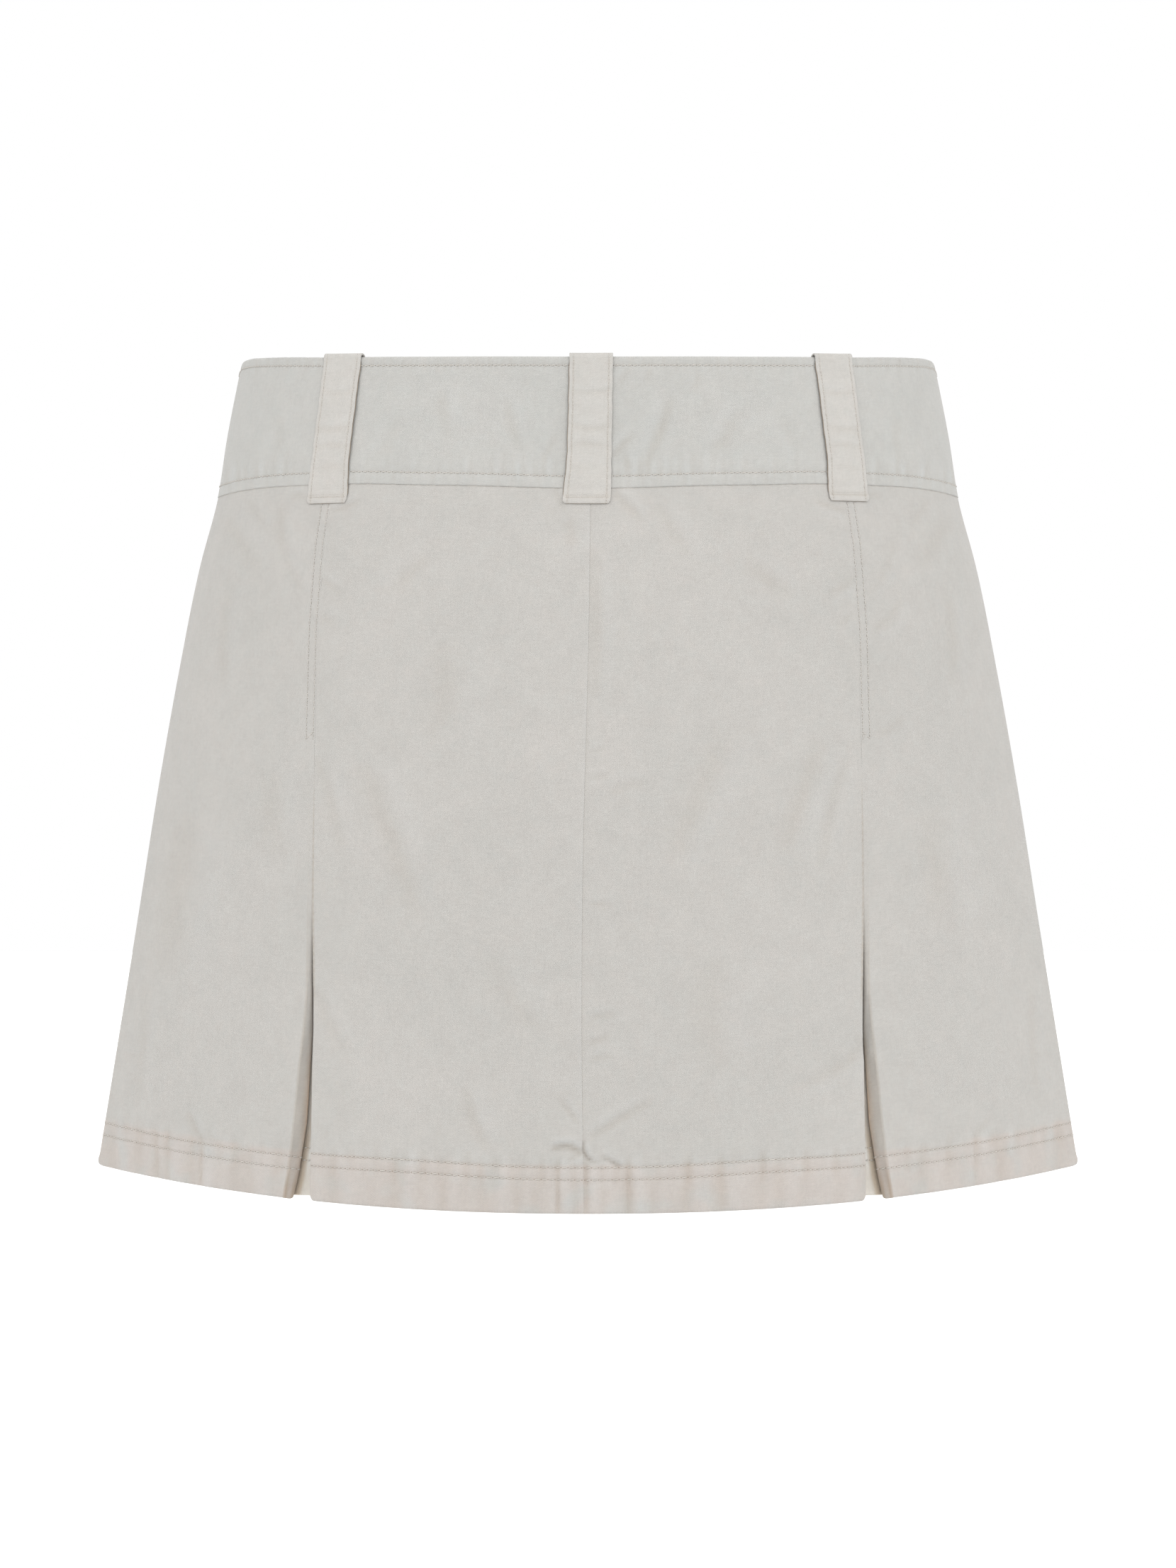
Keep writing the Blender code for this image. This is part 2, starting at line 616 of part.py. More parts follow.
def shorts_leg(name, hand, material):
    """One half of the shorts, a single cut from the centre front round the side to the centre back,
    whose two edges meet at the inseam below the crotch."""
    z = table_column(SHORTS, SHORTS_COLUMNS, "z")[:, None]
    around = np.linspace(0, 1, SHORTS_STEPS + 1)[None, :]
    z = np.repeat(z, around.shape[1], axis=1)
    front = np.repeat(around <= 0.5, z.shape[0], axis=0)
    t = np.sin(np.pi * np.where(around <= 0.5, around, 1 - around))
    t = np.repeat(t, z.shape[0], axis=0)
    follow = np.where(front[..., None], skin_points(t, z, 1), skin_points(t, z, -1))
    follow = follow - outward_normals(follow) * shorts_value(z, "inset")[..., None]
    centre = shorts_value(z, "leg_centre")
    radius = shorts_value(z, "half_width") - centre
    reach = np.arccos(np.clip((SHORTS_MIDLINE_GAP - centre) / radius, -1, 1))
    reach = np.minimum(reach, math.pi - SHORTS_MIDLINE_GAP / shorts_value(z, "back_depth"))
    angle = reach * (1 - 2 * around)
    depth = np.where(angle > 0, shorts_value(z, "front_depth"), shorts_value(z, "back_depth"))
    own = np.stack([centre + radius * np.cos(angle), depth * np.sin(angle)], axis=-1)
    mix = shorts_value(z, "own_shape")[..., None]
    plan = follow * (1 - mix) + own * mix
    joined = centre[:, 0] + SHORTS_MIDLINE_GAP < radius[:, 0]
    plan[joined, 0, 0] = SHORTS_MIDLINE_GAP
    plan[joined, -1, 0] = SHORTS_MIDLINE_GAP
    inside = plan - outward_normals(plan) * SHORTS_WALL
    for edge in (0, -1):
        inside[joined, edge, 0] = np.maximum(inside[joined, edge, 0], SHORTS_MIDLINE_GAP)
    sign = np.array([hand, 1])
    return wall_object(name, with_height(plan * sign, z), with_height(inside * sign, z), material)


def outward_normals(path):
    """Unit normals in plan of the right leg's section, which runs from the front round to the back."""
    along = np.gradient(path, axis=1)
    normal = np.stack([-along[..., 1], along[..., 0]], axis=-1)
    return normal / np.linalg.norm(normal, axis=-1, keepdims=True)


def build_skort():
    clear_scene()
    twill = plain_material("stone twill", (0.610, 0.590, 0.555), 0.90)
    loop_twill = plain_material("loop twill", (0.660, 0.635, 0.595), 0.90)
    shorts_cotton = plain_material("shorts cotton", (0.600, 0.580, 0.545), 0.92)
    button_resin = plain_material("button resin", (0.520, 0.490, 0.440), 0.35)
    made = []
    for word, hand in (("left", -1), ("right", 1)):
        made.append(back_centre_panel(f"back_centre_{word}", hand, twill))
        made.append(back_side_panel(f"back_side_{word}", hand, twill))
        made.append(pleat_underlay(f"pleat_underlay_{word}", hand, twill))
        made.append(front_panel(f"front_{word}", hand, twill))
        made.append(waistband_front(f"waistband_front_{word}", hand, hand > 0, twill))
        made.append(shorts_leg(f"shorts_{word}", hand, shorts_cotton))
    made.append(waistband_back("waistband_back", twill))
    made.append(fly_placket("fly_placket", twill))
    for row in LOOPS:
        made.append(belt_loop(**dict(zip(LOOP_COLUMNS, row)), material=loop_twill))
    mesh = button_mesh(button_resin)
    for row in BUTTONS:
        made.append(sewn_button(**dict(zip(BUTTON_COLUMNS, row)), mesh=mesh))
    garment = bpy.data.objects.new("skort", None)
    bpy.context.scene.collection.objects.link(garment)
    for piece in made:
        piece.parent = garment


build_skort()
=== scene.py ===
import math

import bpy
import numpy as np
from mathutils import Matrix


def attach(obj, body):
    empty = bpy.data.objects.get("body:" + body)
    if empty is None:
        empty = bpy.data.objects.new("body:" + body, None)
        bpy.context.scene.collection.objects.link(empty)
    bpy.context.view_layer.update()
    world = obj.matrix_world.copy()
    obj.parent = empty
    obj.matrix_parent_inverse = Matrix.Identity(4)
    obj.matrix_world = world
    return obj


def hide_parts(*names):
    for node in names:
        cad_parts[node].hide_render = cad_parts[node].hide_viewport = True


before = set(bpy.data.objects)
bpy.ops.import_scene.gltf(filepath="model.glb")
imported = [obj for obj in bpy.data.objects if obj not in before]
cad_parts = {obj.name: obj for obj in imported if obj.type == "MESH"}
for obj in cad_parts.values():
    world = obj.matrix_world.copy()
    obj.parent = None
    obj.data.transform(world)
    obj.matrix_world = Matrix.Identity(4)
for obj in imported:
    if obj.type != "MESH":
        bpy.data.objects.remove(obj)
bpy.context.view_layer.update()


studio = {
    "cameraPlace": (0.0, -3.0, -0.179),
    "lens": 158.68,
    "roomLight": 0.36,
    "suns": (  # name, turn from the back's middle towards the right, height (degrees), strength, softness
        ("keyFront", 4, 40, 1.15, 50),
        ("keyRight", 66, 36, 1.93, 60),
        ("keyLeft", -66, 36, 1.9, 60),
        ("farLight", 180, 42, 1.2, 50),
    ),
    "floorDown": 0.98,  # about how far below a worn waist the ground is
    "floorSize": 60.0,
}


# Turned so that it shines from the given side and height towards the middle.
def addSun(name, turn, height, strength, softness):
    sun = bpy.data.objects.new(name, bpy.data.lights.new(name, "SUN"))
    bpy.context.scene.collection.objects.link(sun)
    sun.data.energy = strength
    sun.data.angle = math.radians(softness)
    sun.rotation_euler = (math.radians(90 - height), 0, math.radians(turn))


# The room is white to look at and shines softly; soft suns stand in for the large lamps.
def makeStudio():
    scene = bpy.context.scene
    scene.view_settings.view_transform = "Standard"
    camera = bpy.data.objects.new("camera", bpy.data.cameras.new("camera"))
    scene.collection.objects.link(camera)
    camera.location = studio["cameraPlace"]
    camera.rotation_euler = (math.pi / 2, 0, 0)
    camera.data.lens = studio["lens"]
    scene.camera = camera
    world = bpy.data.worlds.new("softRoom")
    world.use_nodes = True
    nodes, links = world.node_tree.nodes, world.node_tree.links
    seen = nodes.new("ShaderNodeLightPath").outputs["Is Camera Ray"]
    strength = nodes.new("ShaderNodeMapRange")
    strength.inputs["To Min"].default_value = studio["roomLight"]
    strength.inputs["To Max"].default_value = 1.0
    links.new(seen, strength.inputs["Value"])
    nodes["Background"].inputs["Color"].default_value = (1, 1, 1, 1)
    links.new(strength.outputs[0], nodes["Background"].inputs["Strength"])
    scene.world = world
    for sun in studio["suns"]:
        addSun(*sun)


makeStudio()
print("studio ready")


skin = {  # down is metres below the waist opening's plane; each half ring is read from these
    "down": (-0.006, 0.03, 0.0545, 0.084, 0.13, 0.176, 0.238, 0.3, 0.36),
    "halfWidth": (0.1494, 0.1565, 0.1604, 0.1682, 0.1775, 0.1857, 0.1955, 0.2055, 0.2152),
    "backDepth": (0.0985, 0.1015, 0.104, 0.1085, 0.1145, 0.118, 0.118, 0.1165, 0.115),
    "frontDepth": (0.092, 0.095, 0.098, 0.1015, 0.1045, 0.106, 0.1065, 0.106, 0.105),
    "squareness": (3.0, 2.95, 2.9, 2.8, 2.72, 2.65, 2.6, 2.57, 2.55),
    "roundness": (0.5, 0.53, 0.57, 0.63, 0.71, 0.79, 0.88, 0.95, 1.0),
}
edges = {
    "bandTop": 0.0004,
    "bandHeight": 0.0557,
    "quarterShare": (0.0, 0.1, 0.2, 0.3, 0.4, 0.5, 0.65, 0.75, 0.85, 0.93, 1.0),
    "topRise": (0.0, 0.0001, 0.0002, 0.0003, 0.0006, 0.0009, 0.0021, 0.0028, 0.0033, 0.0029, 0.0006),
    "seamRise": (0.0001, 0.0008, 0.0016, 0.0021, 0.0028, 0.0028, 0.0026, 0.0019, 0.001, 0.0006, 0.0005),
    "backHem": -0.3585,
    "frontHem": -0.353,
    "sideHem": -0.3444,
    "hemPower": 2.05,
}


# Reads a table at any place: a cubic between two rows, with slopes taken from the rows on both sides.
def smoothRead(at, places, values):
    places, values = np.asarray(places, float), np.asarray(values, float)
    slopes = np.gradient(values, places)
    at = np.clip(at, places[0], places[-1])
    left = np.clip(np.searchsorted(places, at) - 1, 0, len(places) - 2)
    span = places[left + 1] - places[left]
    s = (at - places[left]) / span
    start = (2 * s**3 - 3 * s**2 + 1) * values[left] + (s**3 - 2 * s**2 + s) * span * slopes[left]
    end = (3 * s**2 - 2 * s**3) * values[left + 1] + (s**3 - s**2) * span * slopes[left + 1]
    return start + end


# One column of the skin's table at height z.
def skinRead(z, column):
    return smoothRead(-z, skin["down"], skin[column])


# Rises from 0 at low to 1 at high, level at both ends.
def easeIn(value, low, high):
    share = np.clip((value - low) / (high - low), 0, 1)
    return share * share * (3 - 2 * share)


# A hump: e to the power of minus (value / width) squared.
def bell(value, width):
    return np.exp(-((value / width) ** 2))


# The skin in plan: x is t times the half width, y is the depth times (1 - |t|^squareness)^roundness.
def skinPlan(t, z, side):
    depth = skinRead(z, "backDepth" if side < 0 else "frontDepth")
    inside = np.clip(1 - np.abs(t) ** skinRead(z, "squareness"), 0, None)
    y = side * depth * inside ** skinRead(z, "roundness")
    return np.stack([t * skinRead(z, "halfWidth"), y], axis=-1)


# Unit normals in plan along each row, turned a quarter from the row's direction and pointing out.
def planOut(plan, side):
    along = np.gradient(plan, axis=1)
    out = np.stack([along[..., 1], -along[..., 0]], axis=-1)
    out /= np.linalg.norm(out, axis=-1, keepdims=True)
    middle = out.shape[1] // 2
    return out * np.where(out[:, middle : middle + 1, 1:2] * side < 0, -1, 1)


# How far round towards the side a place is, 0 to 1: the angle whose sine is |t|, over a quarter turn.
def quarterShare(t):
    return np.arcsin(np.clip(np.abs(t), 0, 1)) / (math.pi / 2)


# The band's top edge: its level plus a rise read from a table by how far round it is.
def bandTop(t):
    return edges["bandTop"] + smoothRead(quarterShare(t), edges["quarterShare"], edges["topRise"])


# The waist seam: the band's height below that level, plus a rise of its own.
def waistSeam(t):
    rise = smoothRead(quarterShare(t), edges["quarterShare"], edges["seamRise"])
    return edges["bandTop"] - edges["bandHeight"] + rise


# The hem line: its level in the middle plus its rise to the side times |t| to a power.
def hemLine(t, side):
    low = edges["backHem"] if side < 0 else edges["frontHem"]
    return low + (edges["sideHem"] - low) * np.abs(t) ** edges["hemPower"]


# Points from places in plan and their heights.
def withHeight(plan, z):
    return np.concatenate([plan, np.broadcast_to(z, plan.shape[:-1])[..., None]], axis=-1)


# Places from 0 to length, a step apart and closer near the fine ones: their density is one over the
# step, raised by a flat-topped bell at each fine place, and its running sum is cut evenly. The number
# of steps is even, so that an inner wall can take every other point.
def spacedPlaces(length, step, fine=()):
    s = np.linspace(0, length, 3001)
    density = np.full_like(s, 1 / step)
    for place, width, fineStep in fine:
        near = np.exp(-(((s - place) / width) ** 4))
        density = np.maximum(density, 1 / step + (1 / fineStep - 1 / step) * near)
    total = np.concatenate([[0], np.cumsum((density[1:] + density[:-1]) / 2 * np.diff(s))])
    return np.interp(np.linspace(0, total[-1], 2 * int(round(total[-1] / 2)) + 1), total, s)


crease = {
    "points": 8,  # along its bent line
    "reach": 4,  # how far from its line it is worked out, in widths
    "ridge": 0.45,  # height of the ridge beside it, as a share of its depth
    "ridgeAway": 1.9,  # how far off the ridge stands and how wide it is, in widths
    "ridgeWide": 1.3,
}


# Each crease is a trough along a bent line through three places, all in millimetres as x, down from
# the waist plane, width and depth. Its depth falls off with distance as a bell and fades towards
# both ends, and a lower ridge stands on one side of it.
def creaseHeight(x, z, creases):
    total = np.zeros(np.shape(x))
    u = np.linspace(0, 1, crease["points"])[:, None]
    for x0, d0, x1, d1, x2, d2, width, depth in creases:
        start, middle, end = (np.array((a, -b)) / 1000 for a, b in ((x0, d0), (x1, d1), (x2, d2)))
        bend = 2 * middle - (start + end) / 2
        line = (1 - u) ** 2 * start + 2 * u * (1 - u) * bend + u**2 * end
        width, depth = width / 1000, depth / 1000
        low, high = line.min(0) - crease["reach"] * width, line.max(0) + crease["reach"] * width
        near = (x > low[0]) & (x < high[0]) & (z > low[1]) & (z < high[1])
        if not near.any():
            continue
        point = np.stack([x[near], z[near]], axis=-1)[:, None]
        step = np.diff(line, axis=0)
        share = np.clip(((point - line[:-1]) * step).sum(-1) / (step**2).sum(-1), 0, 1)
        away = point - line[:-1] - share[..., None] * step
        best = np.linalg.norm(away, axis=-1).argmin(axis=1)
        pick = np.arange(len(best))
        across = np.cross(step[best], away[pick, best]) / np.linalg.norm(step[best], axis=-1)
        offLine = np.linalg.norm(away[pick, best], axis=-1)
        signed = np.where(across < 0, -offLine, offLine)
        at = (best + share[pick, best]) / len(step)
        fade = np.clip(4 * at * (1 - at), 0, 1) ** 0.5
        ridge = crease["ridge"] * bell(signed - crease["ridgeAway"] * width, crease["ridgeWide"] * width)
        total[near] += depth * fade * (ridge - bell(signed, width))
    return total


# A row of uneven waves along x: four sines whose lengths don't fit each other, each weaker than the last.
def unevenWaves(x, length, seed):
    phase = np.random.default_rng(seed).random(4) * 2 * math.pi
    waves = [np.sin(2 * math.pi * x / (length * k) + p) for k, p in zip((1.0, 1.63, 2.57, 0.71), phase)]
    return (waves[0] + 0.8 * waves[1] + 0.6 * waves[2] + 0.4 * waves[3]) / 2.0


# Uneven waves times their height; the size is height and length.
def ripple(size, x, seed):
    return size[0] * unevenWaves(x, size[1], seed)


# A bell times its height; the size is height and width.
def hump(size, value):
    return size[0] * bell(value, size[1])


hemSizes = {
    "rowGap": 0.0051,
    "turnUp": 0.0205,
    "centreT": (0.0, 0.17, 0.34, 0.42, 0.5, 0.55),
    "centreRow": (0.0141, 0.0146, 0.0154, 0.0152, 0.0148, 0.0147),
    "sideT": (0.5, 0.7, 0.82, 0.9, 1.0),
    "sideRow": (0.0127, 0.0128, 0.0128, 0.013, 0.0133),
    "frontRow": 0.014,
    "stripes": (  # x in millimetres, width and depth of the soft upright troughs in the hem's fold
        (-91.4, 2.2, 0.1), (-78.5, 3.0, 0.16), (-60.6, 2.6, 0.34), (-51.7, 2.2, 0.16), (-39.8, 2.8, 0.26),
        (-29.4, 2.4, 0.24), (-22.9, 2.0, 0.16), (-12.6, 1.0, 0.8), (-5.0, 2.0, 0.12), (-0.6, 1.2, 0.5),
        (5.7, 1.6, 0.2), (17.0, 1.3, 0.44), (26.8, 2.6, 0.24), (40.7, 2.4, 0.3), (56.4, 2.2, 0.3),
        (72.8, 3.0, 0.2), (89.9, 3.2, 0.16), (-165.0, 1.0, 0.62), (-180.2, 1.3, 0.42), (-185.2, 1.3, 0.42),
        (-193.0, 2.4, 0.16), (-150.0, 2.6, 0.14), (165.0, 1.0, 0.34), (152.0, 2.6, 0.16), (176.0, 2.4, 0.22),
        (190.0, 3.0, 0.18),
    ),
    "frontStripes": (
        (-176.0, 2.4, 0.22), (-148.0, 2.8, 0.18), (-121.0, 2.2, 0.24), (-93.0, 2.6, 0.26), (-61.0, 2.0, 0.3),
        (-37.0, 2.6, 0.22), (-14.0, 1.4, 0.34), (9.0, 1.6, 0.3), (31.0, 2.8, 0.22), (58.0, 2.2, 0.28),
        (84.0, 3.0, 0.2), (112.0, 2.2, 0.26), (139.0, 2.6, 0.18), (171.0, 2.2, 0.24),
    ),
    "groove": (0.00018, 0.0007),  # depth and width under each sewn row
    "swell": 0.00016,  # below the lower row
    "ridge": (0.0001, 0.0025, 0.0014),  # height, how far above the lower row, width
    "besideTrough": (0.5, 0.0042, 0.0026),  # a ridge: share of the trough's depth, how far off, width
    "finePuckers": (0.00016, 0.0062),  # height and length
    "broadPuckers": (0.00016, 0.0125),
    "strength": 1.3,  # of troughs and puckers together
}


# How far above the hem the lower sewn row lies, read from a table for each kind of panel.
def hemRow(t, side, onSidePanel):
    t = np.abs(t)
    if side > 0:
        return np.full(np.shape(t), hemSizes["frontRow"])
    if onSidePanel:
        return smoothRead(t, hemSizes["sideT"], hemSizes["sideRow"])
    return smoothRead(t, hemSizes["centreT"], hemSizes["centreRow"])


# The hem's fold: grooves under both stitched rows, a slight swell below each, and upright troughs that
# are deepest between the rows and fade a little way above them.
def hemHeight(x, height, row, side):
    upper = row + hemSizes["rowGap"]
    groove = -hump(hemSizes["groove"], height - row) - hump(hemSizes["groove"], height - upper)
    tall, away, wide = hemSizes["ridge"]
    swell = hemSizes["swell"] * np.sin(math.pi * np.clip(height / row, 0, 1))
    swell = swell + tall * bell(height - row - away, wide)
    stripes = np.zeros(np.shape(x))
    share, away, wide = hemSizes["besideTrough"]
    for place, width, depth in hemSizes["stripes" if side < 0 else "frontStripes"]:
        offLine = x - place / 1000
        stripes -= depth / 1000 * (bell(offLine, width / 1000) - share * bell(offLine - away, wide))
    inFold = easeIn(height, -0.004, 0.004) * (1 - easeIn(height, 0.0, 0.0035) * 0.15)
    above = 1 - easeIn(height, upper - 0.001, upper + 0.006)
    rising, falling = easeIn(height, row - 0.006, row), 1 - easeIn(height, upper, upper + 0.007)
    fine = ripple(hemSizes["finePuckers"], x, 5 + side) * rising * falling
    broad = ripple(hemSizes["broadPuckers"], x, 9 + side) * (1 - easeIn(height, row, upper + 0.004))
    return groove + swell, hemSizes["strength"] * (stripes * inFold * above + fine + broad)


backCreases = (
    # left side panel
    (-156, 64, -149, 75, -140, 89, 3.2, 0.24), (-131, 64, -128, 84, -117, 101, 2.2, 0.18),
    (-145, 57, -142, 63, -137, 71, 1.8, 0.22), (-130, 60, -130, 69, -129, 77, 2.0, 0.18),
    (-153, 92, -156, 117, -155, 138, 2.6, 0.26), (-126, 58, -122, 57, -118, 59, 1.5, 0.3),
    (-171, 319, -168, 325, -165, 331, 1.3, 0.52), (-163, 326, -160, 330, -156, 333, 1.5, 0.26),
    (-202, 295, -198, 296, -193, 295, 0.9, 0.16), (-191, 262, -192, 290, -194, 318, 2.2, 0.22),
    (-133, 172, -134, 190, -131, 210, 5.0, 0.25), (-172, 190, -176, 225, -183, 262, 7.0, 0.3),
    # left centre panel
    (-112, 92, -108, 96, -102, 99, 1.6, 0.3), (-112, 108, -110, 110, -107, 113, 1.8, 0.24),
    (-109, 64, -103, 62.5, -96, 60, 1.2, 0.42), (-84, 100, -76, 92, -65, 82, 3.0, 0.24),
    (-14, 55, -12, 60, -9, 65, 1.6, 0.3), (-9, 69, -7, 74, -8, 80, 3.0, 0.26),
    (-114, 166, -109, 184, -102, 210, 2.6, 0.26), (-95, 170, -84, 198, -71, 238, 4.5, 0.34),
    (-51, 306, -48, 319, -42, 332, 2.6, 0.4), (-11.5, 311, -8, 315.5, -4, 320.5, 1.3, 0.45),
    (-15.5, 331.6, -8, 330.4, -2, 334.0, 1.2, 1.1), (-3, 333, -5, 334.5, -8, 336, 1.0, 0.35),
    (-114, 264, -110, 278, -100, 294, 3.0, 0.24), (-40, 250, -33, 268, -22, 282, 5.0, 0.22),
    (-62, 118, -60, 140, -66, 162, 6.0, 0.22),
    # right centre panel
    (11, 57, 16, 62, 23, 69, 1.8, 0.42), (28, 62, 35, 72, 42, 85, 3.0, 0.26),
    (3, 80, 3.5, 112, 3, 144, 2.6, 0.3), (66, 86, 75, 93, 86, 101, 3.0, 0.3),
    (109, 64, 103, 62.5, 96, 60, 1.2, 0.42), (112, 92, 108, 96, 101, 99, 1.6, 0.3),
    (112, 108, 109, 110, 105, 113, 1.8, 0.24), (98, 160, 90, 183, 82, 209, 4.0, 0.36),
    (110, 168, 103, 186, 98, 215, 2.4, 0.28), (57, 156, 47, 183, 33, 212, 5.0, 0.3),
    (0, 327, 11, 320.5, 27, 311, 1.8, 0.45), (-1.7, 328, -1.0, 333.9, 4, 337.4, 0.8, 1.0),
    (5, 334.2, 9.3, 336.4, 14, 339.2, 0.9, 0.8), (115, 285, 109, 296, 83, 308, 2.4, 0.26),
    (0, 277, 5, 276, 12, 275, 1.4, 0.34), (0, 287, 4, 286, 9, 284, 1.3, 0.34),
    (0, 295, 5, 293, 11, 293, 1.3, 0.3), (0, 230, 5, 229, 10, 230, 1.3, 0.3),
    (0, 176, 5, 176, 9, 176, 1.2, 0.26), (0, 165, 4, 165, 8, 164, 1.1, 0.22),
    (8, 184, 16, 180, 27, 178, 2.0, 0.22), (54, 250, 50, 275, 56, 300, 7.0, 0.22),
    # right side panel
    (156, 64, 149, 75, 140, 89, 3.2, 0.24), (131, 64, 128, 84, 117, 101, 2.0, 0.18),
    (145, 57, 142, 63, 137, 71, 1.8, 0.22), (124, 58, 121, 57, 117, 59, 1.5, 0.26),
    (153, 92, 156, 117, 155, 138, 2.6, 0.26), (133, 100, 128, 108, 121, 112, 1.8, 0.24),
    (132, 108, 127, 112, 121, 114, 1.6, 0.2), (134, 150, 128, 156, 121, 158, 2.0, 0.2),
    (171, 322, 168, 326, 164, 330, 1.5, 0.26), (202, 295, 198, 296, 193, 295, 0.9, 0.16),
    (191, 262, 192, 290, 194, 318, 2.2, 0.22), (144, 190, 148, 215, 150, 240, 6.0, 0.26),
)
frontCreases = (
    (-150, 62, -143, 76, -132, 92, 3.2, 0.5), (150, 62, 143, 76, 132, 92, 3.2, 0.5),
    (-24, 62, -32, 74, -46, 86, 3.0, 0.34), (24, 62, 33, 72, 45, 82, 2.8, 0.36),
    (-92, 64, -96, 82, -90, 100, 2.4, 0.28), (92, 64, 96, 84, 91, 104, 2.4, 0.26),
    (-20, 186, -34, 196, -58, 204, 2.6, 0.36), (19, 182, 36, 190, 62, 202, 2.8, 0.4),
    (-18, 194, -26, 206, -40, 220, 2.2, 0.26), (18, 196, 25, 210, 37, 226, 2.2, 0.26),
    (-120, 120, -124, 160, -138, 205, 7.0, 0.3), (118, 130, 126, 170, 136, 214, 7.0, 0.3),
    (-70, 250, -74, 280, -70, 312, 6.0, 0.26), (66, 240, 74, 272, 80, 304, 6.0, 0.26),
    (-1, 300, -9, 306, -20, 308, 1.6, 0.3), (1, 318, 8, 324, 16, 332, 1.4, 0.36),
    (-160, 322, -156, 328, -151, 332, 1.6, 0.26), (162, 322, 158, 327, 152, 331, 1.6, 0.24),
)


panelRelief = {
    "creases": 1.2,  # strength of the creases in the shape
    "fadeFrom": 0.975,  # where towards the side seam the relief starts to fade
    "tuck": (0.00005, 0.0008),  # how deep and how far down a panel is tucked under the band
    "fullTone": 0.0009,  # depth at which a hollow has a painted shading tone of 1
    # stripeTone paints shade into the hem's troughs, and seamTone paints the shade just below the band's
    # lower edge.
    "stripeTone": 1.5,
    "rowTone": (0.6, 0.0005),  # strength and width of the painted shade along a sewn row
    "seamTone": (0.9, 0.0004),
}


# The relief of a panel, and its painted shading tone: painted shade in hollows, along the hem's rows and just
# under the band's edge, and painted highlight on ridges.
def panelHeight(x, z, t, side, hemRowAt):
    height = z - hemLine(t, side)
    sewn, stripes = hemHeight(x, height, hemRowAt, side)
    creases = panelRelief["creases"] * creaseHeight(x, z, backCreases if side < 0 else frontCreases)
    fade = 1 - easeIn(np.abs(t), panelRelief["fadeFrom"], 1.0)
    below = np.clip(waistSeam(t) - z, 0, None)
    deep, far = panelRelief["tuck"]
    lift = (sewn + stripes + creases) * fade - deep * np.exp(-below / far)
    onRow, wide = panelRelief["rowTone"]
    rowTone = bell(height - hemRowAt, wide) + bell(height - hemRowAt - hemSizes["rowGap"], wide)
    worn = paintedShadingFrom((creases + panelRelief["stripeTone"] * stripes) * fade)
    return lift, worn + onRow * rowTone + hump(panelRelief["seamTone"], below)


# The painted shading of a relief: minus its height over the full depth, from -1 on ridges (painted highlight)
# to 1.5 in hollows (painted shade).
def paintedShadingFrom(height):
    return np.clip(-height / panelRelief["fullTone"], -1.0, 1.5)


# Puts arrays of points and faces into a mesh piece at the origin. Each array in faces holds faces of
# one size, and all are turned over if the piece would be inside out.
def meshPiece(name, points, faces, materials, uv=None, slots=None):
    volume = 0
    for some in faces:
        for k in range(1, some.shape[1] - 1):
            a, b, c = points[some[:, 0]], points[some[:, k]], points[some[:, k + 1]]
            volume += np.einsum("ij,ij->i", a, np.cross(b, c)).sum()
    if volume < 0:
        faces = [some[:, ::-1] for some in faces]
    corners = np.concatenate([some.ravel() for some in faces])
    sizes = np.concatenate([np.full(len(some), some.shape[1]) for some in faces])
    mesh = bpy.data.meshes.new(name)
    mesh.vertices.add(len(points))
    mesh.vertices.foreach_set("co", points.astype(np.float32).ravel())
    mesh.loops.add(len(corners))
    mesh.loops.foreach_set("vertex_index", corners.astype(np.int32))
    mesh.polygons.add(len(sizes))
    mesh.polygons.foreach_set("loop_start", (np.cumsum(sizes) - sizes).astype(np.int32))
    for material in materials:
        mesh.materials.append(material)
    if slots is not None:
        mesh.polygons.foreach_set("material_index", slots.astype(np.int32))
    mesh.update(calc_edges=True)
    mesh.validate()
    if uv is not None:
        layer = mesh.uv_layers.new(name="clothMap")
        layer.data.foreach_set("uv", uv[corners].astype(np.float32).ravel())
    mesh.shade_smooth()
    piece = bpy.data.objects.new(name, mesh)
    bpy.context.scene.collection.objects.link(piece)
    return piece


# A grid's border, once round: its first row, last column, last row and first column.
def borderOf(grid):
    return np.concatenate([grid[0, :-1], grid[:-1, -1], grid[-1, :0:-1], grid[:0:-1, 0]])


# A face of four corners between each two neighbouring rows and columns of a grid.
def quadsOf(grid):
    return np.stack([grid[:-1, :-1], grid[:-1, 1:], grid[1:, 1:], grid[1:, :-1]], axis=-1).reshape(-1, 4)


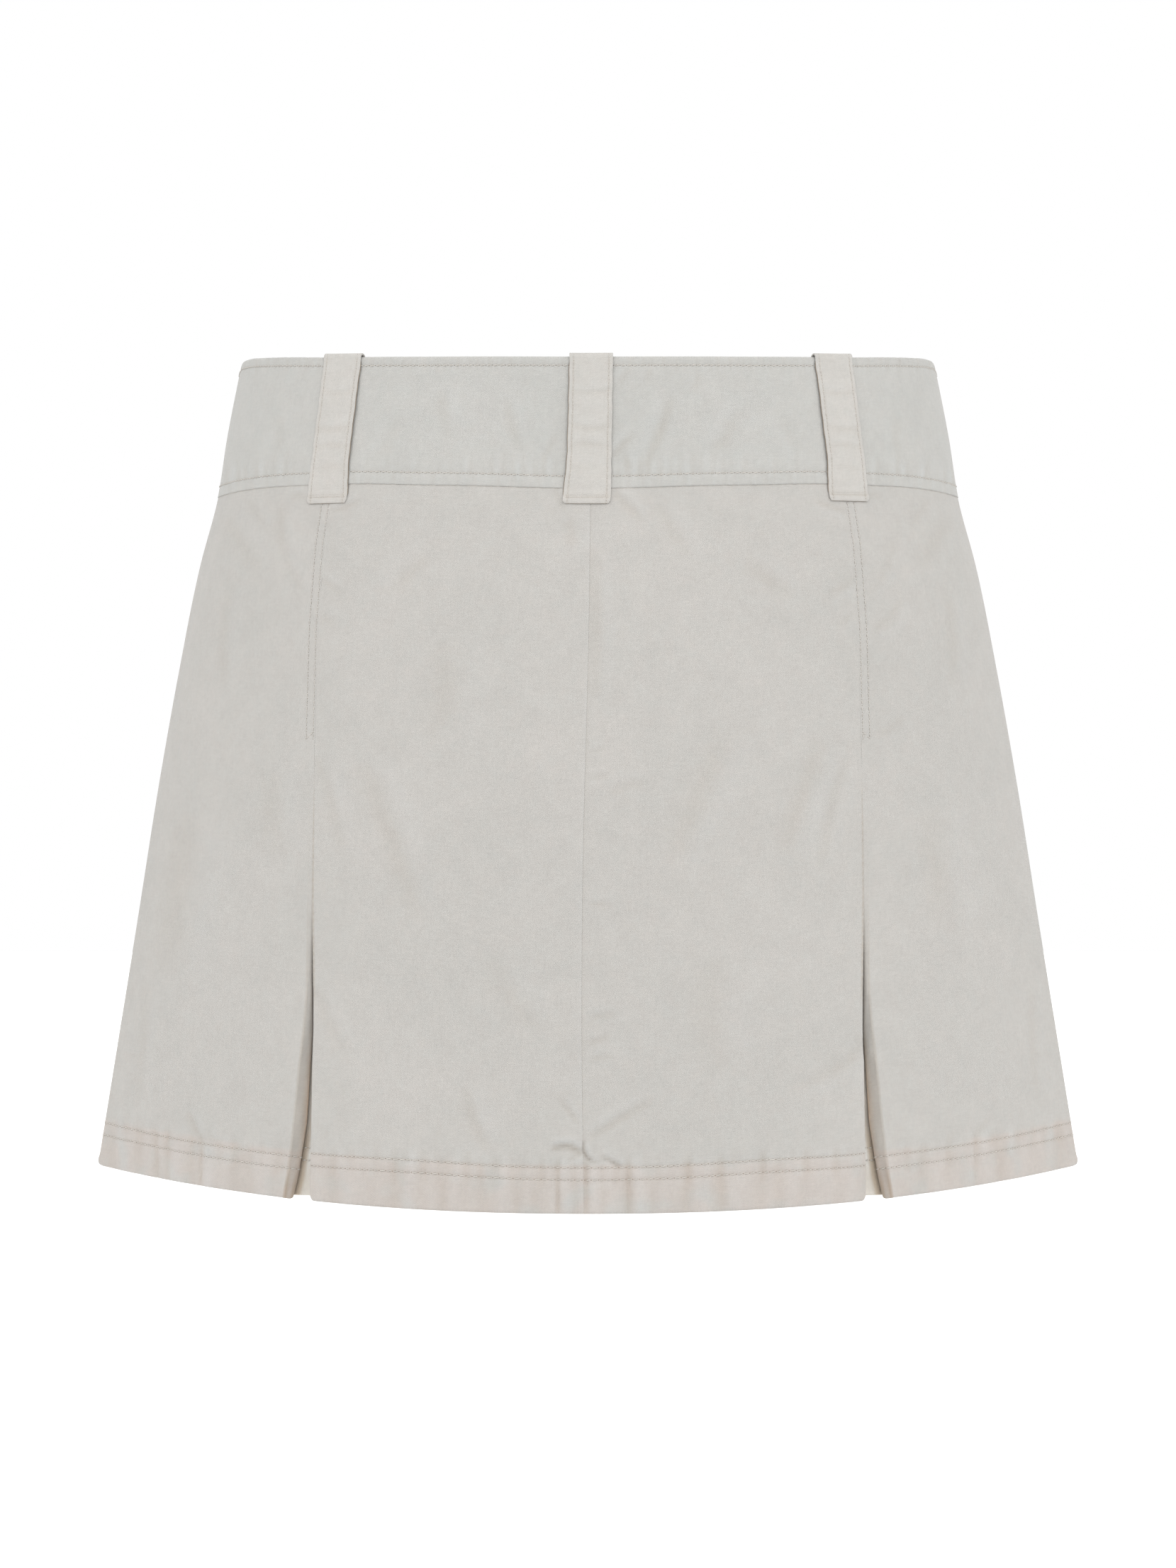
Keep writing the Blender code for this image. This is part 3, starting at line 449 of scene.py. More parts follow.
# Joins an outer and an inner grid round their border. Each border loop lies on a half ellipse between
# the walls: middle + cos(a) half + sin(a) swell |half| along the direction that leaves the cloth. The
# inner wall takes every other row and column, and triangles close the last loop onto it.
def clothPiece(name, outer, inner, uv, material, swell=(1, 1, 1, 1), loops=5, tone=None, worn=None,
               glow=None):
    rows, cols = outer.shape[:2]
    grid = np.arange(rows * cols).reshape(rows, cols)
    leave = np.zeros_like(outer)
    for at, back, share in (
        (np.s_[0], np.s_[1], swell[0]), (np.s_[:, -1], np.s_[:, -2], swell[1]),
        (np.s_[-1], np.s_[-2], swell[2]), (np.s_[:, 0], np.s_[:, 1], swell[3]),
    ):
        step = outer[at] - outer[back]
        leave[at] += share * step / np.maximum(np.linalg.norm(step, axis=-1, keepdims=True), 1e-9)
    leave /= np.maximum(np.linalg.norm(leave, axis=-1, keepdims=True), 1)
    border = borderOf(grid)
    o, i, pull = (g.reshape(-1, 3)[border] for g in (outer, inner, leave))
    half = (o - i) / 2
    size = np.linalg.norm(half, axis=-1, keepdims=True)
    rims = [
        (o + i) / 2 + math.cos(math.pi * k / loops) * half + math.sin(math.pi * k / loops) * size * pull
        for k in range(1, loops)
    ]
    sparse = inner[::2, ::2]
    innerGrid = rows * cols + np.arange(sparse.shape[0] * sparse.shape[1]).reshape(sparse.shape[:2])
    firstRim = innerGrid[-1, -1] + 1
    points = np.concatenate([outer.reshape(-1, 3), sparse.reshape(-1, 3)] + rims)
    names = [border] + [firstRim + k * len(border) + np.arange(len(border)) for k in range(loops - 1)]
    quads = [quadsOf(grid), quadsOf(innerGrid)[:, ::-1]]
    for near, far in zip(names[:-1], names[1:]):
        quads.append(np.stack([np.roll(near, -1), near, far, np.roll(far, -1)], axis=-1))
    q0, q1, q2 = names[-1][::2], names[-1][1::2], np.roll(names[-1], -2)[::2]
    p0 = borderOf(innerGrid)
    p2 = np.roll(p0, -1)
    closing = [np.stack(three, axis=-1) for three in ((q1, q0, p0), (q1, p0, p2), (q2, q1, p2))]

    def everyPoint(face):
        flat = face.reshape(rows * cols, -1)
        within = face[::2, ::2].reshape(-1, flat.shape[1])
        return np.concatenate([flat, within] + [flat[border]] * (loops - 1))

    faces = [np.concatenate(quads), np.concatenate(closing)]
    piece = meshPiece(name, points, faces, [material], everyPoint(uv))
    piece.data.set_sharp_from_angle(angle=math.radians(62))
    for title, face in (("foldTone", tone), ("wornTone", worn), ("glowTone", glow)):
        if face is not None:
            mark = piece.data.attributes.new(title, "FLOAT", "POINT")
            mark.data.foreach_set("value", everyPoint(face[..., None]).ravel().astype(np.float32))
    return piece


# Unit normals of a grid of points: the cross product of its steps across and down, facing out.
def gridNormals(outer, inner):
    normal = np.cross(np.gradient(outer, axis=1), np.gradient(outer, axis=0))
    normal /= np.maximum(np.linalg.norm(normal, axis=-1, keepdims=True), 1e-12)
    facing = ((outer - inner) * normal).sum(-1, keepdims=True)
    return normal * np.where(facing < 0, -1, 1)


# Reads a grid at fractional rows and columns, straight between its four nearest points.
def gridAt(grid, row, col):
    row, col = np.clip(row, 0, grid.shape[0] - 1.001), np.clip(col, 0, grid.shape[1] - 1.001)
    r, c = row.astype(int), col.astype(int)
    fr, fc = (row - r)[:, None], (col - c)[:, None]
    return ((1 - fr) * ((1 - fc) * grid[r, c] + fc * grid[r, c + 1])
            + fr * ((1 - fc) * grid[r + 1, c] + fc * grid[r + 1, c + 1]))


finishes = {  # colours as the cloth reflects them, before the light
    "skirt": (0.371, 0.359, 0.339),
    "hemFold": (0.386, 0.356, 0.331),
    "band": (0.373, 0.368, 0.35),
    "loop": (0.405, 0.391, 0.368),
    # The underlay's colour is lighter and creamier than the skirt's: painted light that offsets the shade
    # deep inside the pleat.
    "underlay": (0.468, 0.442, 0.401),
    "shorts": (0.367, 0.355, 0.335),
    "thread": (0.42, 0.397, 0.364),
    # needle holes and the gaps under folded edges get this dark colour as painted shade
    "needleHole": (0.2, 0.165, 0.13),
    "button": (0.42, 0.385, 0.335),
    "paintedShadingDark": (0.7, 0.59, 0.47),  # what a painted shading tone of 4 multiplies the colour by, a painted shade; -4 does the opposite, a painted highlight
    "foldGlow": (1.9, 1.6, 1.36),  # what light passed on inside a fold multiplies the colour by
}


# Small helper that adds shader nodes and joins them.
class NodeBuilder:
    def __init__(self, name):
        self.material = bpy.data.materials.new(name)
        self.material.use_nodes = True
        self.tree = self.material.node_tree
        self.shader = self.tree.nodes["Principled BSDF"]

    def add(self, kind, inputs=(), **settings):
        node = self.tree.nodes.new(kind)
        for key, value in settings.items():
            setattr(node, key, value)
        for key, value in dict(inputs).items():
            self.join(value, node.inputs[key])
        return node

    def join(self, value, socket):
        if isinstance(value, bpy.types.NodeSocket):
            self.tree.links.new(value, socket)
        else:
            socket.default_value = value

    def maths(self, operation, *values):
        return self.add("ShaderNodeMath", dict(enumerate(values)), operation=operation).outputs[0]

    # value times scale plus shift
    def scaled(self, value, scale, shift):
        return self.maths("ADD", self.maths("MULTIPLY", value, scale), shift)

    # the sum of values, each times its share
    def summed(self, *parts):
        total = None
        for value, share in parts:
            part = self.maths("MULTIPLY", value, share)
            total = part if total is None else self.maths("ADD", total, part)
        return total

    def mixed(self, factor, a, b, blend="MIX"):
        node = self.add("ShaderNodeMix", data_type="RGBA", blend_type=blend)
        for socket, value in ((node.inputs[0], factor), (node.inputs[6], a), (node.inputs[7], b)):
            self.join(value, socket)
        return node.outputs[2]

    def times(self, colour, other):
        return self.mixed(1.0, colour, other, "MULTIPLY")

    def grey(self, value):
        return self.add("ShaderNodeCombineColor", {0: value, 1: value, 2: value}).outputs[0]

    def mark(self, name):
        return self.add("ShaderNodeAttribute", attribute_name=name).outputs["Fac"]

    def objectPlace(self):
        return self.add("ShaderNodeTexCoord").outputs["Object"]

    def bump(self, height, strength, distance):
        bump = self.add("ShaderNodeBump", {"Strength": strength, "Distance": distance, "Height": height})
        self.join(bump.outputs[0], self.shader.inputs["Normal"])

    # the colour and plain values, each onto its own socket of the shader
    def finish(self, colour, values):
        for key, value in {"Base Color": colour, **values}.items():
            self.join(value, self.shader.inputs[key])
        return self.material

    def noise(self, place, scale, detail=2.0, roughness=0.5):
        return self.add("ShaderNodeTexNoise", {
            "Vector": place, "Scale": scale, "Detail": detail, "Roughness": roughness,
        }).outputs["Fac"]


# A colour times a factor, at most 1, with its alpha.
def shade(colour, factor):
    return (*(min(1, c * factor) for c in colour), 1)


twill = {
    "pitch": 0.00062,  # from rib to rib
    "ribs": {"Distortion": 1.6, "Detail": 2.0, "Detail Scale": 0.8, "Detail Roughness": 0.6},
    "warpStretch": (1.0, 0.1, 1.0),
    "weftStretch": (0.12, 1.0, 1.0),
    "yarns": (1500.0, 2.0, 0.7),  # scale, detail and roughness of a noise, as for the next seven
    "picks": (1300.0, 2.0, 0.7),
    "fibres": (2600.0, 3.0, 0.75),
    "clouds": (22.0, 3.0, 0.6),
    "washed": (95.0, 3.0, 0.65),
    "blotches": (210.0, 2.0, 0.6),
    "mottle": (620.0, 2.0, 0.7),
    "foldPatches": (85.0, 1.0, 0.5),
    "patchy": (4.4, -1.2),  # contrast and shift of the fold's patches
    "cloudTints": ((0.955, 0.965, 0.965, 1), (1.045, 1.035, 1.035, 1)),
    "blotchTints": ((1.012, 0.994, 0.988, 1), (0.988, 1.006, 1.012, 1)),
    "grain": (0.36, 0.676),  # contrast and shift of the grain's grey
    "bump": (0.32, 0.00012),  # strength and distance
    "surface": {"Roughness": 0.92, "Specular IOR Level": 0.22, "Sheen Weight": 0.1, "Sheen Roughness": 0.5},
}


# Washed cotton twill. Slanting ribs are a sine across the cloth's own map, broken up along their length
# by stretched noise; faint cloudy patches and single yarns vary the colour.
def twillFinish(name, colour, foldColour=None, slant=58, ribDepth=1.0):
    b = NodeBuilder(name)
    cloth = b.add("ShaderNodeUVMap", uv_map="clothMap").outputs["UV"]
    place = b.objectPlace()
    turned = b.add("ShaderNodeMapping", {"Vector": cloth, "Rotation": (0, 0, math.radians(slant))}).outputs[0]
    ribs = b.add("ShaderNodeTexWave", {
        "Vector": turned, "Scale": math.pi / 10 / twill["pitch"], **twill["ribs"],
    }, wave_type="BANDS", bands_direction="X", wave_profile="SIN").outputs["Fac"]
    warp = b.add("ShaderNodeMapping", {"Vector": cloth, "Scale": twill["warpStretch"]}).outputs[0]
    weft = b.add("ShaderNodeMapping", {"Vector": cloth, "Scale": twill["weftStretch"]}).outputs[0]
    yarns, picks = b.noise(warp, *twill["yarns"]), b.noise(weft, *twill["picks"])
    fibres = b.noise(cloth, *twill["fibres"])
    clouds, washed, blotches, mottle = (
        b.noise(place, *twill[layer]) for layer in ("clouds", "washed", "blotches", "mottle"))
    base = shade(colour, 1.0)
    if foldColour:
        patchy = b.scaled(b.noise(place, *twill["foldPatches"]), *twill["patchy"])
        base = b.mixed(b.maths("MULTIPLY", b.mark("foldTone"), patchy), base, shade(foldColour, 1.0))
    base = b.times(base, b.mixed(clouds, *twill["cloudTints"]))
    base = b.times(base, b.mixed(blotches, *twill["blotchTints"]))
    # The painted shading tone darkens the colour as painted shade in hollows, creases, pleats and along seams
    # and rows, and lightens it as painted highlight where it is negative; the glow tone mixes in painted
    # light passed on inside a fold.
    worn = b.scaled(b.mark("wornTone"), 0.125, 0.5)  # from -4 to 4 becomes 0 to 1
    dark = finishes["paintedShadingDark"]
    base = b.times(base, b.mixed(worn, (*(2 - c for c in dark), 1), (*dark, 1)))
    base = b.mixed(b.mark("glowTone"), base, b.times(base, (*finishes["foldGlow"], 1)))
    grain = b.summed((b.maths("ADD", yarns, picks), 0.3), (fibres, 0.4),
                     (b.maths("ADD", washed, mottle), 0.35), (ribs, 0.1 * ribDepth))
    b.bump(b.summed((ribs, 0.55 * ribDepth), (yarns, 0.35), (picks, 0.25)), *twill["bump"])
    return b.finish(b.times(base, b.grey(b.scaled(grain, *twill["grain"]))), twill["surface"])


# Plain tubes of sewing thread, slightly uneven in tone from stitch to stitch.
def threadFinish(name, colour, roughness=0.75):
    b = NodeBuilder(name)
    place = b.objectPlace()
    uneven = b.scaled(b.noise(place, 350.0), 0.3, 0.85)
    b.bump(b.noise(place, 4000.0, 1.0), 0.3, 0.00005)
    surface = {"Roughness": roughness, "Specular IOR Level": 0.3}
    return b.finish(b.times(shade(colour, 1.0), b.grey(uneven)), surface)


# Matt horn-like resin: soft swirls of two tones.
def resinFinish(name, colour):
    b = NodeBuilder(name)
    place = b.objectPlace()
    swirl = b.add("ShaderNodeTexWave", {
        "Vector": place, "Scale": 60.0, "Distortion": 9.0, "Detail": 3.0, "Detail Scale": 1.2,
    }, wave_type="BANDS").outputs["Fac"]
    b.bump(b.noise(place, 1800.0), 0.15, 0.00004)
    return b.finish(b.mixed(swirl, shade(colour, 0.82), shade(colour, 1.12)), {"Roughness": 0.38})


# A nearly even pale grey, clear from below so that views from there aren't blocked.
def floorFinish():
    b = NodeBuilder("paleFloor")
    speck = b.noise(b.objectPlace(), 3.0)
    pale = b.mixed(speck, (0.955, 0.955, 0.955, 1), (0.965, 0.965, 0.965, 1))
    b.finish(pale, {"Roughness": 0.95, "Specular IOR Level": 0.0})
    clear = b.add("ShaderNodeBsdfTransparent")
    facing = b.add("ShaderNodeNewGeometry").outputs["Backfacing"]
    seen = b.add("ShaderNodeMixShader", {0: facing, 1: b.shader.outputs[0], 2: clear.outputs[0]})
    b.join(seen.outputs[0], b.tree.nodes["Material Output"].inputs["Surface"])
    return b.material


skirtTwill = twillFinish("skirtTwill", finishes["skirt"], finishes["hemFold"])
bandTwill = twillFinish("bandTwill", finishes["band"])
loopTwill = twillFinish("loopTwill", finishes["loop"], slant=52)
underlayTwill = twillFinish("underlayTwill", finishes["underlay"])
shortsCotton = twillFinish("shortsCotton", finishes["shorts"], finishes["hemFold"], slant=45, ribDepth=0.3)
sewingThread = threadFinish("sewingThread", finishes["thread"])
# A dark finish of painted shade for needle holes and the gaps under folded edges.
needleHole = threadFinish("needleHole", finishes["needleHole"], 0.95)
buttonResin = resinFinish("buttonResin", finishes["button"])


# One square, level with the ground that a wearer would stand on.
def makeFloor():
    half = studio["floorSize"] / 2
    ground = -studio["floorDown"]
    corners = [(x * half, y * half, ground) for x, y in ((-1, -1), (1, -1), (1, 1), (-1, 1))]
    mesh = bpy.data.meshes.new("floor")
    mesh.from_pydata(corners, [], [(0, 1, 2, 3)])
    mesh.materials.append(floorFinish())
    floor = bpy.data.objects.new("floor", mesh)
    bpy.context.scene.collection.objects.link(floor)


makeFloor()
print("finishes and floor ready")


stitchLook = {
    "thread": 0.00023,
    "length": 0.0027,
    "gap": 0.0011,
    "slant": 0.0003,
    "thick": 0.72,  # a tube's shape, in thread radii: up from the cloth, across, and the tip past each end
    "wide": 1.15,
    "tip": 0.6,
    "uneven": 0.0003,  # how far a needle hole strays along the row
    "hole": 0.0002,
    "holeShape": (1.25, 0.9),  # along and across the row, in hole sizes
    "holeRise": (0.00002, 0.00007, -0.0001),  # heights of its rim, its top and its bottom
    "rings": (0.0, 0.12, 0.32, 0.5, 0.68, 0.88, 1.0),
    "sides": 6,
}


# Short closed tubes: rings of points round each centre line, with a pole beyond each end.
def threadTubes(centre, size, along, up):
    count, rings = centre.shape[:2]
    sides = stitchLook["sides"]
    side = np.cross(up, along)
    turn = 2 * math.pi * np.arange(sides)[:, None] / sides
    ring = stitchLook["thick"] * up[:, :, None] * np.cos(turn)
    ring = ring + stitchLook["wide"] * side[:, :, None] * np.sin(turn)
    tube = centre[:, :, None] + ring * size[..., None, None]
    push = along[:, (0, -1)] * size[:, (0, -1), None] * stitchLook["tip"]
    ends = np.stack([centre[:, 0] - push[:, 0], centre[:, -1] + push[:, 1]], axis=1)
    each = rings * sides
    points = np.concatenate([tube.reshape(count, each, 3), ends], axis=1)
    first = np.arange(rings - 1)[:, None] * sides
    a = np.arange(sides)[None, :]
    b = (a + 1) % sides
    one = np.concatenate([
        np.stack([first + a, first + sides + b, first + b], axis=-1).reshape(-1, 3),
        np.stack([first + a, first + sides + a, first + sides + b], axis=-1).reshape(-1, 3),
        np.stack([a[0] * 0 + each, a[0], b[0]], axis=-1),
        np.stack([a[0] * 0 + each + 1, each - sides + b[0], each - sides + a[0]], axis=-1),
    ])
    faces = one[None] + np.arange(count)[:, None, None] * (each + 2)
    return points.reshape(-1, 3), faces.reshape(-1, 3), np.zeros(len(one) * count, int)


# Small flat dark beads of painted shade in the needle holes: an oval ring with a pole above and below.
def holeBeads(spot, up, along, scale=1.0):
    sides = stitchLook["sides"]
    side = np.cross(up, along)
    turn = 2 * math.pi * np.arange(sides)[:, None] / sides
    size = stitchLook["hole"] * scale
    long, wide = stitchLook["holeShape"]
    level, top, bottom = ((spot + up * rise)[:, None] for rise in stitchLook["holeRise"])
    rim = level + size * (long * along[:, None] * np.cos(turn) + wide * side[:, None] * np.sin(turn))
    points = np.concatenate([rim, top, bottom], axis=1)
    a = np.arange(sides)
    b = (a + 1) % sides
    one = np.stack([a, b, a * 0 + sides], axis=-1)
    one = np.concatenate([one, np.stack([b, a, a * 0 + sides + 1], axis=-1)])
    faces = one[None] + np.arange(len(spot))[:, None, None] * (sides + 2)
    return points.reshape(-1, 3), faces.reshape(-1, 3), np.ones(len(one) * len(spot), int)


# Each vector over its length.
def unit(v):
    return v / np.maximum(np.linalg.norm(v, axis=-1, keepdims=True), 1e-12)


# Lays stitches along a line on the cloth. Cut evenly by length, each is a tube that rises from the
# cloth, runs level and dips again: its height is the thread's radius times 1.35 (1 - (2u-1)^4) - 0.55,
# and it slants a little across the line. A dark bead of painted shade marks each needle hole.
def sewLine(line, normals, pitch=None, thickness=1.0, seed=0, holes=True, slant=1.0):
    radius = stitchLook["thread"] * thickness
    run = np.concatenate([[0], np.cumsum(np.linalg.norm(np.diff(line, axis=0), axis=1))])
    pitchAt = np.broadcast_to(stitchLook["length"] if pitch is None else pitch, run.shape)
    passed = np.concatenate([[0], np.cumsum(np.diff(run) * 2 / (pitchAt[1:] + pitchAt[:-1]))])
    count = max(1, int(round(passed[-1])))
    marks = np.interp(np.arange(count + 1) * passed[-1] / count, passed, run)
    rng = np.random.default_rng(seed)
    marks[1:-1] += (rng.random(count - 1) - 0.5) * stitchLook["uneven"]
    gap = min(stitchLook["gap"], 0.4 * (marks[1] - marks[0]))
    u = np.array(stitchLook["rings"])[None, :]
    s = marks[:-1, None] + gap / 2 + u * (np.diff(marks)[:, None] - gap)

    def read(table, at):
        return np.stack([np.interp(at, run, table[:, k]) for k in range(3)], axis=-1)

    def readAlong(at):
        return unit(read(line, at + 0.0002) - read(line, at - 0.0002))

    up, along = unit(read(normals, s)), readAlong(s)
    level = 1 - (2 * u - 1) ** 4
    tilt = stitchLook["slant"] * slant * (0.7 + 0.6 * rng.random((count, 1))) * (u - 0.5)
    centre = read(line, s) + up * (radius * (1.35 * level - 0.55))[..., None]
    centre += np.cross(up, along) * tilt[..., None]
    sewn = [threadTubes(centre, np.broadcast_to(radius * (0.55 + 0.45 * level), s.shape), along, up)]
    if holes:
        upThere = unit(read(normals, marks))
        sewn.append(holeBeads(read(line, marks), upThere, readAlong(marks), thickness**0.5))
    return sewn


# A thin dark cord along a line: painted shade in the gap under a folded edge.
def edgeCord(line, normals, radius):
    ends = np.minimum(np.arange(len(line)), np.arange(len(line))[::-1])
    size = radius * np.clip(ends / 3 + 0.3, 0, 1)
    along = unit(np.gradient(line, axis=0))
    points, faces, slots = threadTubes(line[None], size[None], along[None], unit(normals)[None])
    return [(points, faces, slots + 1)]


# Joins sewn lines into one piece: their points in one array, with each line's faces moved on past the
# points before it.
def sewnPiece(name, lines):
    points, faces, slots, start = [], [], [], 0
    for p, f, s in (part for line in lines for part in line):
        points.append(p)
        faces.append(f + start)
        slots.append(s)
        start += len(p)
    return meshPiece(name, np.concatenate(points), [np.concatenate(faces)], [sewingThread, needleHole],
                     slots=np.concatenate(slots))


# A piece's CAD node has the same name, with a low line and a small letter for each capital.
def nodeName(name):
    return "".join("_" + c.lower() if c.isupper() else c for c in name)


# Says what a piece rides on. The garment is one body.
def carry(piece):
    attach(piece, "root")
    return piece


# Attaches a cloth piece, hides the CAD part that it was cut from, and makes and attaches a piece of the
# stitches on it.
def registerCloth(piece, sewn=()):
    carry(piece)
    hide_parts(nodeName(piece.name))
    stitching = [carry(sewnPiece(piece.name + "Stitches", sewn))] if sewn else []


# The cloth's own map from lengths across and down it.
def mapOf(across, down):
    return np.stack(np.broadcast_arrays(across, down), axis=-1)


panelLook = {
    "wall": 0.0009,
    "hemExtra": 0.0011,
    "rowStep": 0.0014,
    "colStep": 0.0011,
    "frontStep": 0.0017,
    "belowSeam": 0.0001,
    "length": 0.298,  # about how long it is and how high its hem row is, for the spacing of its rows
    "backRow": 0.0142,
    "rimUp": 0.0009,  # how far above the hem line its last points lie, as the rim swells out below them
    "foldCorner": 0.0014,  # radius of the hem's corner at a fold
    "sideCorner": 0.002,  # and at the side seam
}
pleat = {
    "down": (0.055, 0.078, 0.113, 0.177, 0.225, 0.2667, 0.2817, 0.2966, 0.3205, 0.3443, 0.356),
    "panelEdge": (0.1078, 0.1112, 0.1138, 0.1154, 0.1158, 0.1157, 0.1156, 0.1161, 0.1165, 0.117, 0.117),
    "opening": (0.0, 0.0, 0.0, 0.0001, 0.0002, 0.0002, 0.0002, 0.0008, 0.002, 0.0052, 0.008),
    "turnedIn": (0.0024, 0.0024, 0.0024, 0.0024, 0.0024, 0.0033, 0.0048, 0.0055, 0.0062, 0.0053, 0.0047),
    "turn": (0, 0, 0, 0, 8, 42, 50, 52, 54, 54, 54),
    "sewnTo": 0.16,
    "freeFrom": 0.2,
    "bendRadius": 0.001,
    "creep": 0.0004,
    "foldRadius": 0.0011,
    "flatAcross": 0.00002,  # half sizes of the folded edge where it is sewn flat
    "flatDeeper": 0.00015,  # past half the wall
    "pullFrom": (0.215, 0.262),  # where down the pleat the fold starts to round away from its line
    "centreReturn": 0.023,
    "sideReturn": 0.006,
    "foldSteps": 7,
    "rows": (0.0038, 0.0008),  # the two topstitched rows, out from the centre panel's edge
}
backSeam = {
    "down": (0.055, 0.122, 0.138, 0.207, 0.296, 0.355),
    "x": (0.001, 0.0001, -0.0003, -0.0021, -0.0026, -0.0018),
}


# One column of the pleat's table at height z, straight between its rows.
def pleatRead(z, column):
    return np.interp(-z, pleat["down"], pleat[column])


# 0 where the pleat's seam is sewn flat and 1 where its fold is free.
def pleatFree(z):
    return easeIn(-z, pleat["sewnTo"], pleat["freeFrom"])


# Half sizes of the folded edge: almost nothing where the seam is sewn flat, a round fold where it is free.
def foldSizes(z):
    free, flatDeep = pleatFree(z), panelLook["wall"] / 2 + pleat["flatDeeper"]
    return (pleat["flatAcross"] + (pleat["foldRadius"] - pleat["flatAcross"]) * free,
            flatDeep + (pleat["foldRadius"] - flatDeep) * free)


# Shares of the way down a panel, closer together under the band, at the sewn rows and at the hem.
def panelRows(side, step):
    length, row = panelLook["length"], panelLook["backRow"] if side < 0 else hemSizes["frontRow"]
    fine = [(0.0, 0.003, 0.0006), (length - row, 0.0016, 0.0006),
            (length - row - hemSizes["rowGap"], 0.0016, 0.0006), (length, 0.0015, 0.0007)]
    return spacedPlaces(length, step, fine)[:, None] / length


# The wall's thickness: more on the hem's turn-up, with a short step at its top.
def panelWall(height):
    turnUp = hemSizes["turnUp"]
    return panelLook["wall"] + panelLook["hemExtra"] * (1 - easeIn(height, turnUp - 0.0008, turnUp + 0.0008))


# How much of the fold's colour shows: 1 on the turn-up, 0 above it.
def foldTone(height):
    return 1 - easeIn(height, hemSizes["turnUp"] - 0.002, hemSizes["turnUp"] + 0.001)


# A panel on the skin: its places, normals, heights above the hem, hem row, distance from the middle,
# relief and worn tone.
def panelSkin(t, z, hand, side, onSidePanel):
    plan = skinPlan(hand * t, z, side)
    row = hemRow(t, side, onSidePanel)
    x = t * skinRead(z, "halfWidth")
    lift, worn = panelHeight(hand * x, z, hand * t, side, row)
    return plan, planOut(plan, side), z - hemLine(t, side), row, x, lift, worn


# 1 at the hem, fading to 0 at 6 mm above it.
def nearHem(height):
    return 1 - easeIn(height, 0.0, 0.006)


# Heights down a panel: shares of the way from just below the waist seam to just above the hem line.
def panelDown(t, drop, side):
    top = waistSeam(t) - panelLook["belowSeam"]
    return top + (hemLine(t, side) + panelLook["rimUp"] - top) * drop


# t and heights of a panel's points, settled together because each needs the other.
def settle(tAt, drop, side):
    z = waistSeam(0.6) + (hemLine(0.6, side) - waistSeam(0.6)) * drop
    for _ in range(4):
        t = tAt(z)
        z = panelDown(t, drop, side)
    return t, z


# A cloth's outer and inner points: places in plan moved out by lift, and by lift less the wall.
def twoWalls(plan, out, lift, wall, z):
    return withHeight(plan + out * lift[..., None], z), withHeight(plan + out * (lift - wall)[..., None], z)


# Places and normals on a cloth at fractional rows and columns of its grids.
def onCloth(outer, normals, rows, cols):
    return gridAt(outer, rows, cols), gridAt(normals, rows, cols)


# The line on a panel at a given height above the hem in each of the named columns.
def hemSewing(outer, normals, height, row, cols):
    rows = np.array([np.interp(-row[c], -height[:, c], np.arange(len(height))) for c in cols])
    return onCloth(outer, normals, rows, np.array(cols, float))


# Two rows of stitches along a hem, the second a gap above the first.
def hemRows(outer, normals, height, row, gap, cols, pitch, seed, **look):
    lines = [hemSewing(outer, normals, height, row + gap * k, cols) for k in range(2)]
    return [sewLine(*line, pitch, seed=seed + k, **look) for k, line in enumerate(lines)]


# Lengths along a line from its first point, as the running sum of its steps.
def runAlong(line):
    return np.concatenate([[0], np.cumsum(np.linalg.norm(np.diff(line, axis=0), axis=1))])


# Repeats a grid's last column.
def alike(values, more):
    return np.concatenate([values, np.repeat(values[:, -1:], more, axis=1)], axis=1)


# A direction in plan that continues along the row past its last point.
def onwardFrom(out, hand):
    onward = np.stack([-out[:, 1], out[:, 0]], axis=-1)
    return onward * hand * np.sign(onward[:, :1])


# A place on the skin at a distance from the middle, with its unit normal in plan.
def placeAt(x, z, side, hand):
    t = (x / skinRead(z, "halfWidth"))[:, None]
    t = hand * np.concatenate([t - 0.01, t, t + 0.01], axis=1)
    near = skinPlan(t, np.repeat(z[:, None], 3, axis=1), side)
    return near[:, 1], planOut(near, side)[:, 1]


# How much further out the flat of a panel ends than its fold reaches: b n - sqrt((b n)^2 + (a o)^2), where
# n and o are how far its normal and its own direction lead sideways. It comes in as the pleat opens.
def foldPull(sizes, n, o, z):
    a, b = sizes
    return (b * n - np.sqrt((b * n) ** 2 + (a * o) ** 2)) * easeIn(-z, *pleat["pullFrom"])


# The centre panel's pull, worked out at the heights of the pleat's table and read between them.
def centrePull(z):
    down = np.array(pleat["down"])
    out = placeAt(np.array(pleat["panelEdge"]), -down, -1, 1)[1]
    return np.interp(-z, down, foldPull(foldSizes(-down), out[:, 0], onwardFrom(out, 1)[:, 0], -down))


# A panel's normal and its own direction in plan, both turned by the angle that its edge bends through.
def bentBy(turn, out, onward):
    return out * np.cos(turn) + onward * np.sin(turn), onward * np.cos(turn) - out * np.sin(turn)


